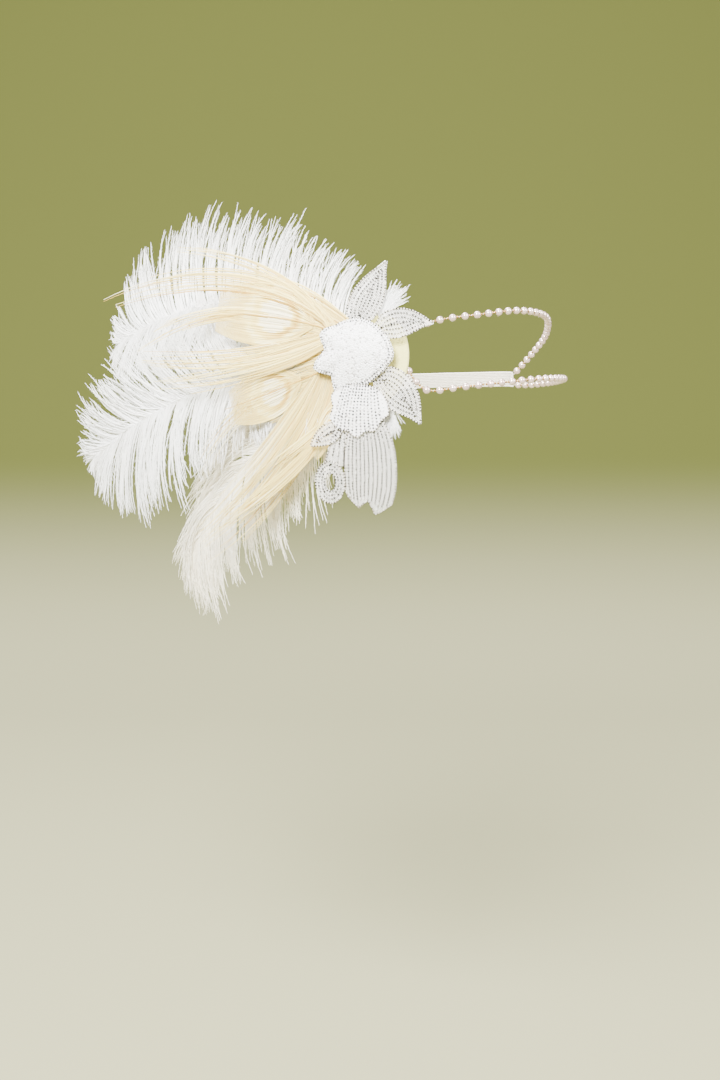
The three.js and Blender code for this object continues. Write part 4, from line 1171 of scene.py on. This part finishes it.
class HEADBAND_OT_peacocks(bpy.types.Operator):
    """Lays the herls, fans and eyes of the three bleached peacock feathers"""
    bl_idname = "headband.peacocks"
    bl_label = "Peacock feathers"

    def execute(self, context):
        settings = context.scene.headband_feathers
        satin = herl_material(tuple(settings.straw), tuple(settings.ivory))
        ribbons, tubes = ribbon_tree(), tube_tree()
        for seed, (name, spec) in enumerate(PEACOCKS.items()):
            draw, layer = random.Random(61 + seed), spec["layer"]
            stations = walk(QUILL_ROOT_U, QUILL_TOP_V - spec["v"] * QUILL_SPACING, spec["heading"],
                            spec["turn"], spec["length"] * SPRAY, 1.0, 24, 1.2)
            lines = []
            for begin, heading, turn, late, length, width in spec["herls"]:
                u, v, _ = station_at(stations, begin)
                path = walk(u, v, heading, turn, length * HERL, late, 20)
                lines += herl_strip(path, width * HERL_WIDTH * HERL_SPREAD, HERL_SHAPE, layer,
                                    settings, draw, herl_tone, fray=0.9, shortest=0.52)
            begin, length, width = spec["eye"]
            u, v, heading = station_at(stations, FAN_START)
            reach = (begin - FAN_START) * spec["length"] * SPRAY + FAN_REACH * length
            path = walk(u, v, heading, spec["turn"] / 2, reach, 1.0, 12)
            lines += herl_strip(path, FAN_WIDTH * width, FAN_SHAPE, layer, settings, draw,
                                herl_tone, fray=0.2, shortest=0.8, lift=-0.5)
            u, v, heading = station_at(stations, begin)
            path = walk(u, v, heading, spec["turn"] / 2, length, 1.0, 18)
            lines += herl_strip(path, width, EYE_SHAPE, layer, settings, draw, eye_tone,
                                shortest=0.94)
            vane = grow(f"peacock_{name}_vane", guide_lines(f"guide peacock {name}", lines), ribbons,
                        {"Material": satin})
            shaft = shaft_line(stations, layer, SHAFT_STAND, QUILL * SHAFT, SHAFT_END)
            shaft["tone"] = SHAFT_TONE
            core = grow(f"peacock_{name}_quill", guide_lines("guide quill", [shaft]), tubes,
                        {"Sides": 6, "Material": satin})
            keep(join_pieces(f"peacock_{name}", [vane, core]), f"peacock_feather_{name}")
        return {"FINISHED"}


class HEADBAND_OT_tufts(bpy.types.Operator):
    """Gathers the two white marabou tufts"""
    bl_idname = "headband.tufts"
    bl_label = "Marabou tufts"

    def execute(self, context):
        settings = context.scene.headband_feathers
        down = feather_material("marabou down", linear("#F3F1EC"), tuple(settings.white))
        fibres = fibre_tree()
        lift = PETAL_LIFT - GAP - TUFT_DROP
        for seed, (name, spec) in enumerate(TUFTS.items()):
            root_u, root_v, heading, end_heading, curl, length, width = spec
            draw = random.Random(91 + seed)
            barbs = []
            for lock in range(TUFT_LOCKS):
                aim = lerp(heading, end_heading, (lock + 0.5) / TUFT_LOCKS)
                reach = length * REACH * draw.uniform(*TUFT_REACH)
                for _ in range(TUFT_BARBS):
                    toward = aim + draw.uniform(-TUFT_SPREAD, TUFT_SPREAD)
                    u = root_u * REACH + draw.uniform(-TUFT_ROOT, TUFT_ROOT)
                    v = root_v * REACH + draw.uniform(-TUFT_ROOT, TUFT_ROOT)
                    path = walk(u, v, toward, curl * draw.uniform(*DOWN_CURL),
                                reach * draw.uniform(*DOWN_REACH), 1.0, 7)
                    own = draw.uniform(-TUFT_RISE, TUFT_RISE)
                    turn = math.radians(toward + 90)
                    barbs.append({
                        "points": [place(u, v, lift + own * (0.5 + share), FLOWER_DRAPE)
                                   for share, u, v, _ in path],
                        "across": ALONG_U * math.cos(turn) + ALONG_V * math.sin(turn),
                        "radius": [DOWN_RADIUS * MM * lerp(1, 0.3, share) for share, *_ in path],
                        "fluff": [DOWN_FLUFF * MM * lerp(1, 0.4, share) for share, *_ in path],
                        "tone": draw.uniform(*DOWN_TONE),
                    })
            piece = grow(f"tuft_{name}", guide_lines(f"guide tuft {name}", barbs), fibres, {
                "Material": down, "Barbule spacing": DOWN_SPACING * MM, "Seed": 20 + seed})
            keep(piece, f"marabou_tuft_{name}")
        return {"FINISHED"}


def petal_point(spec, share, side, above=0.0):
    """A place on a petal's net or above it, side from -1 to 1. The bell's lower edge is notched."""
    u, v, heading, turn, length, width, shape, lift, rise, cup = spec
    if shape == "bell":
        share *= shape_at(DROP_EDGE, (side + 1) / 2)
    stations = walk(u * REACH, v * REACH, heading, turn, length * PETAL_LENGTH, 1.0, 6)
    at_u, at_v, toward = station_at(stations, share)
    across = side * width * PETAL_WIDTH * shape_at(PETAL_SHAPES[shape], share) / 2
    angle = math.radians(toward)
    raised = (rise * share * share + cup * side * side * share) * PETAL_THICKNESS
    return (at_u - across * math.sin(angle), at_v + across * math.cos(angle),
            lift + raised + PETAL_THICKNESS + above)


def scroll_point(reach, turn, above=0.0):
    """A place on the scroll's ring of net, reach from its hole to its outer edge."""
    wide = lerp(SCROLL["hole"][0], SCROLL["outer"][0], reach)
    high = lerp(SCROLL["hole"][1], SCROLL["outer"][1], reach)
    return ((SCROLL["u"] + wide * math.cos(turn)) * REACH,
            (SCROLL["v"] + high * math.sin(turn)) * REACH, SCROLL_LIFT + PETAL_THICKNESS + above)


def web_point(across, down, above=0.0):
    """A place on the net between the scroll and the drop."""
    top = [lerp(a, b, across) * REACH for a, b in zip(WEB[0], WEB[1])]
    low = [lerp(a, b, across) * REACH for a, b in zip(WEB[3], WEB[2])]
    return (lerp(top[0], low[0], down), lerp(top[1], low[1], down),
            WEB_LIFT + PETAL_THICKNESS + above)


def net_sheet(name, grid, material, node):
    """A thin sheet of net through a grid of (u, v, lift) places, with its flat map in mm."""
    columns = len(grid[0])
    points = [place(*spot, FLOWER_DRAPE) * MM for row in grid for spot in row]
    faces = []
    for row in range(len(grid) - 1):
        for column in range(columns - 1):
            a = row * columns + column
            faces.append((a, a + 1, a + columns + 1, a + columns))
    mesh = bpy.data.meshes.new(name)
    mesh.from_pydata(points, [], faces)
    layer = mesh.uv_layers.new(name="net")
    for loop in mesh.loops:
        spot = grid[loop.vertex_index // columns][loop.vertex_index % columns]
        layer.data[loop.index].uv = spot[:2]
    mesh.materials.append(material)
    if sum(face.normal.dot(OUTWARD) for face in mesh.polygons) < 0:
        mesh.flip_normals()
    source = link_object(name, mesh)
    source.modifiers.new("Seam", "WELD").merge_threshold = 0.01 * MM
    wall = source.modifiers.new("Wall", "SOLIDIFY")
    wall.thickness, wall.offset = NET_THICKNESS * MM, -1
    piece = plain_copy(name, source)
    piece.data.shade_smooth()
    keep(piece, node)


def fan_rows(half_width, spacing):
    """Rows of beads on the bell: its outline, then lines that fan down it."""
    inner, count = 1 - ROW_EDGE / half_width, round(2 * half_width / spacing)
    down = [step / 40 for step in range(40)]
    edge = [(0.99, lerp(-inner, inner, step / 40)) for step in range(41)]
    rows = [[(share, -inner) for share in down] + edge + [(share, inner) for share in reversed(down)]]
    for line in range(1, count):
        side = lerp(-inner, inner, line / count)
        first = FAN_STAGGER * (line % 2)
        rows.append([(first + share * 0.94, side) for share in down])
    return rows


def petal_rows(spec, settings):
    """Rows of beads on a petal: its outline, then outlines one spacing further in, and a midrib."""
    half_width, length = spec[5] * PETAL_WIDTH / 2, spec[4] * PETAL_LENGTH
    spacing, rows = settings.row_spacing / MM, []
    if spec[6] == "bell":
        return fan_rows(half_width, spacing)
    for ring in range(int(half_width / spacing) + 1):
        inset = ring * spacing + ROW_EDGE
        last = 1 - inset * 1.6 / length
        row = []
        for step in range(41):
            share = lerp(0.0, last, step / 40)
            side = 1 - inset / (half_width * shape_at(PETAL_SHAPES[spec[6]], share))
            if side > 0:
                row.append((share, side))
        if len(row) > 4:
            rows.append(row + [(share, -side) for share, side in reversed(row)])
    rows.append([(lerp(0.05, 0.8, step / 12), 0.0) for step in range(13)])
    return rows


def bead_rows(name, rows, finishes, seed):
    """Beads along rows of (u, v, lift) places, and a fine thread along the first, outermost one."""
    lines = []
    for index, row in enumerate(rows):
        lines.append({"points": [place(*spot, FLOWER_DRAPE) for spot in row],
                      "shade": INNER_SHADE if index else OUTLINE_SHADE})
    edge = [{"points": lines[0]["points"], "radius": EDGE_THREAD * MM}]
    bound = grow("edge", guide_lines("guide edge", edge), finishes["threads"],
                 {"Sides": 5, "Material": finishes["thread"]})
    beads = grow("beads", guide_lines("guide rows", lines), finishes["rows"], {
        "Pitch": finishes["pitch"], "Bead size": finishes["size"], "Seed": seed,
        "Material": finishes["bead"]})
    return join_pieces(name, [beads, bound])


def row_finishes(settings):
    """The trees, materials and sizes that every set of bead rows shares."""
    return {
        "rows": bead_row_tree(), "threads": tube_tree(),
        # The near-black and grey row colours are painted shade, standing in for the shade in each bead's
        # hole
        "bead": bead_material("silver-lined bead", linear("#0C0B0A"), linear("#4B4742"),
                              linear("#DCD8D0")),
        "thread": thread_material(), "pitch": settings.row_pitch, "size": settings.row_bead,
    }


class HEADBAND_OT_petals(bpy.types.Operator):
    """Sews the net petals, the scroll and the web between them with rows of beads"""
    bl_idname = "headband.petals"
    bl_label = "Beaded petals"

    def execute(self, context):
        settings = context.scene.headband_flower
        net, finishes = net_material(tuple(settings.net)), row_finishes(settings)
        for seed, (name, spec) in enumerate(PETALS.items()):
            grid = [[petal_point(spec, row / 24, column / 8 - 1) for column in range(17)]
                    for row in range(25)]
            net_sheet(f"net_{name}", grid, net, f"petal_{name}")
            rows = [[petal_point(spec, share, side, ROW_LIFT) for share, side in row]
                    for row in petal_rows(spec, settings)]
            keep(bead_rows(f"beads_{name}", rows, finishes, seed), f"petal_{name}")
        turns = [step / 48 * math.tau for step in range(49)]
        grid = [[scroll_point(reach / 6, turn) for turn in turns] for reach in range(7)]
        net_sheet("net_scroll", grid, net, "petal_scroll")
        rows = [[scroll_point(reach, turn, ROW_LIFT) for turn in turns]
                for reach in reversed(SCROLL_ROWS)]
        keep(bead_rows("beads_scroll", rows, finishes, 9), "petal_scroll")
        grid = [[web_point(column / 6, row / 8) for column in range(7)] for row in range(9)]
        net_sheet("net_web", grid, net, "petal_scroll")
        rows = [[web_point(across, step / 12, ROW_LIFT) for step in range(13)]
                for across in (1, 0.72, 0.44, 0.16)]
        keep(bead_rows("beads_web", rows, finishes, 10), "petal_scroll")
        return {"FINISHED"}


def lobe_at(lobes, angle):
    spot = angle / math.tau * len(lobes)
    low = int(spot) % len(lobes)
    return lerp(lobes[low], lobes[(low + 1) % len(lobes)], smooth(spot - int(spot)))


def dome_point(spec, share, angle, height=0.0):
    """A place on a dense centre's dome, share of the way to its lobed rim."""
    u0, v0, reach, lift, rise, edge, power, lobes = spec
    far = reach * share * lobe_at(lobes, angle)
    return ((u0 + far * math.cos(angle)) * REACH, (v0 + far * math.sin(angle)) * REACH,
            lift + edge + rise * (1 - share ** power) + height)


def dome_fan(spec, count):
    """Rows that fan down over a dome, from its upper edge to its lower one."""
    rows = []
    for line in range(count):
        side, row = lerp(-1, 1, (line + 0.5) / count), []
        for step in range(31):
            across, up = side * lerp(0.7, 1.15, step / 30), lerp(1, -1, step / 30)
            angle = math.atan2(up, across) % math.tau
            share = math.hypot(across, up) / lobe_at(spec[7], angle)
            if share < 0.96:
                row.append(dome_point(spec, share, angle, RIM_LIFT))
        if len(row) > 3:
            rows.append(row)
    return rows


def dome_mesh(name, spec):
    """The closed dome under a dense centre, from its crown to its lobed rim and flat back."""
    rings, spokes = 8, 64
    rise, edge = spec[4], spec[5]
    spots = [dome_point(spec, 0, 0)]
    for ring in range(1, rings + 1):
        spots += [dome_point(spec, ring / rings, spoke / spokes * math.tau) for spoke in range(spokes)]
    spots += [dome_point(spec, 1, spoke / spokes * math.tau, -edge) for spoke in range(spokes)]
    spots.append(dome_point(spec, 0, 0, -edge - rise))
    mesh = bpy.data.meshes.new(name)
    mesh.from_pydata([place(*spot, FLOWER_DRAPE) * MM for spot in spots], [],
                     ring_faces(rings + 1, spokes))
    return link_object(name, mesh)


class HEADBAND_OT_clusters(bpy.types.Operator):
    """Packs the two dense centres with seed beads, with rows of darker beads round their rims"""
    bl_idname = "headband.clusters"
    bl_label = "Bead centres"

    def execute(self, context):
        settings = context.scene.headband_flower
        glass = bead_material("white glass bead", linear("#AFABA5"), linear("#F1EFEB"),
                              linear("#FFFFFF"), 0.4)
        backing, pack, finishes = backing_material(), bead_pack_tree(), row_finishes(settings)
        for seed, (name, spec) in enumerate(CLUSTERS.items()):
            spread, rims, fan = CLUSTER_BEADS[name]
            packed = grow(f"pack_{name}", dome_mesh(f"guide dome {name}", spec), pack, {
                "Bead size": settings.pack_bead, "Spacing": settings.pack_bead * spread,
                "Seed": seed, "Material": glass, "Backing": backing})
            rows = [[dome_point(spec, share, step / 96 * math.tau, RIM_LIFT) for step in range(97)]
                    for share in rims] + dome_fan(spec, fan)
            rims = bead_rows(f"rims_{name}", rows, finishes, 40 + seed)
            piece = join_pieces(f"bead_cluster_{name}", [packed, rims])
            keep(piece, "flower_centre" if name == "centre" else "flower_lower")
        return {"FINISHED"}


# Stage

class HEADBAND_OT_stage(bpy.types.Operator):
    """Sets the paper sweep, three soft lights and the camera"""
    bl_idname = "headband.stage"
    bl_label = "Stage"

    def execute(self, context):
        settings = context.scene.headband_stage
        profile = [(-SWEEP["front"], 0.0), (SWEEP["back"] - SWEEP["bend"], 0.0)]
        for step in range(1, 17):
            angle = step / 16 * math.pi / 2
            profile.append((SWEEP["back"] + SWEEP["bend"] * (math.sin(angle) - 1),
                            SWEEP["bend"] * (1 - math.cos(angle))))
        profile.append((SWEEP["back"], SWEEP["height"]))
        yaw = math.radians(CAMERA_YAW)
        ahead = Vector((-math.sin(yaw), math.cos(yaw), 0))
        aside = Vector((math.cos(yaw), math.sin(yaw), 0))
        points = [ahead * far + aside * side + Vector((0, 0, FLOOR_LEVEL + rise))
                  for far, rise in profile for side in (-SWEEP["half"], SWEEP["half"])]
        faces = [(2 * i, 2 * i + 1, 2 * i + 3, 2 * i + 2) for i in range(len(profile) - 1)]
        mesh = bpy.data.meshes.new("studio_sweep")
        mesh.from_pydata(points, [], faces)
        mesh.materials.append(paper_material(tuple(settings.floor), tuple(settings.wall)))
        mesh.shade_smooth()
        link_object("studio_sweep", mesh)
        for name, spot, size, share in LIGHTS:
            lamp = bpy.data.lights.new(name, "AREA")
            lamp.energy, lamp.size = settings.key_power * share, size
            holder = link_object(name, lamp)
            holder.location = spot
            aim = Vector(LIGHT_AIM) - Vector(spot)
            holder.rotation_euler = aim.to_track_quat("-Z", "Y").to_euler()
        world = bpy.data.worlds.new("studio air")
        world.use_nodes = True
        world.node_tree.nodes.clear()
        air = add(world.node_tree, "ShaderNodeBackground", {
            "Color": linear("#DDDFD6"), "Strength": AIR_STRENGTH})
        add(world.node_tree, "ShaderNodeOutputWorld", {"Surface": air})
        context.scene.world = world
        lens = bpy.data.cameras.new("quarter view")
        lens.lens, lens.sensor_width, lens.sensor_fit = CAMERA_LENS, 36, "AUTO"
        lens.clip_start, lens.clip_end = 0.01, 50
        camera = link_object("quarter view", lens)
        camera.location = CAMERA
        camera.rotation_euler = (math.radians(90 + CAMERA_PITCH), 0, yaw)
        context.scene.camera = camera
        return {"FINISHED"}


# Add-on

OPERATORS = [
    HEADBAND_OT_stage, HEADBAND_OT_strands, HEADBAND_OT_elastic, HEADBAND_OT_felt,
    HEADBAND_OT_plumes, HEADBAND_OT_peacocks, HEADBAND_OT_tufts, HEADBAND_OT_petals,
    HEADBAND_OT_clusters,
]
SETTINGS = {
    "headband_strands": StrandSettings, "headband_feathers": FeatherSettings,
    "headband_flower": FlowerSettings, "headband_stage": StageSettings,
}


class HEADBAND_PT_panel(bpy.types.Panel):
    """Lists the headband's settings and makers"""
    bl_idname = "HEADBAND_PT_panel"
    bl_label = "Feather headband"
    bl_space_type = "VIEW_3D"
    bl_region_type = "UI"
    bl_category = "Headband"

    def draw(self, context):
        for group, kind in SETTINGS.items():
            box = self.layout.box()
            for key in kind.__annotations__:
                box.prop(getattr(context.scene, group), key)
        for kind in OPERATORS:
            self.layout.operator(kind.bl_idname)


CLASSES = [*SETTINGS.values(), *OPERATORS, HEADBAND_PT_panel]


def register():
    for kind in CLASSES:
        bpy.utils.register_class(kind)
    for group, kind in SETTINGS.items():
        setattr(bpy.types.Scene, group, bpy.props.PointerProperty(type=kind))


def unregister():
    for group in SETTINGS:
        delattr(bpy.types.Scene, group)
    for kind in reversed(CLASSES):
        bpy.utils.unregister_class(kind)


def main():
    register()
    bpy.ops.headband.stage()
    bpy.ops.headband.strands()
    bpy.ops.headband.elastic()
    bpy.ops.headband.felt()
    bpy.ops.headband.plumes()
    bpy.ops.headband.peacocks()
    bpy.ops.headband.tufts()
    bpy.ops.headband.petals()
    bpy.ops.headband.clusters()


if __name__ == "__main__":
    main()
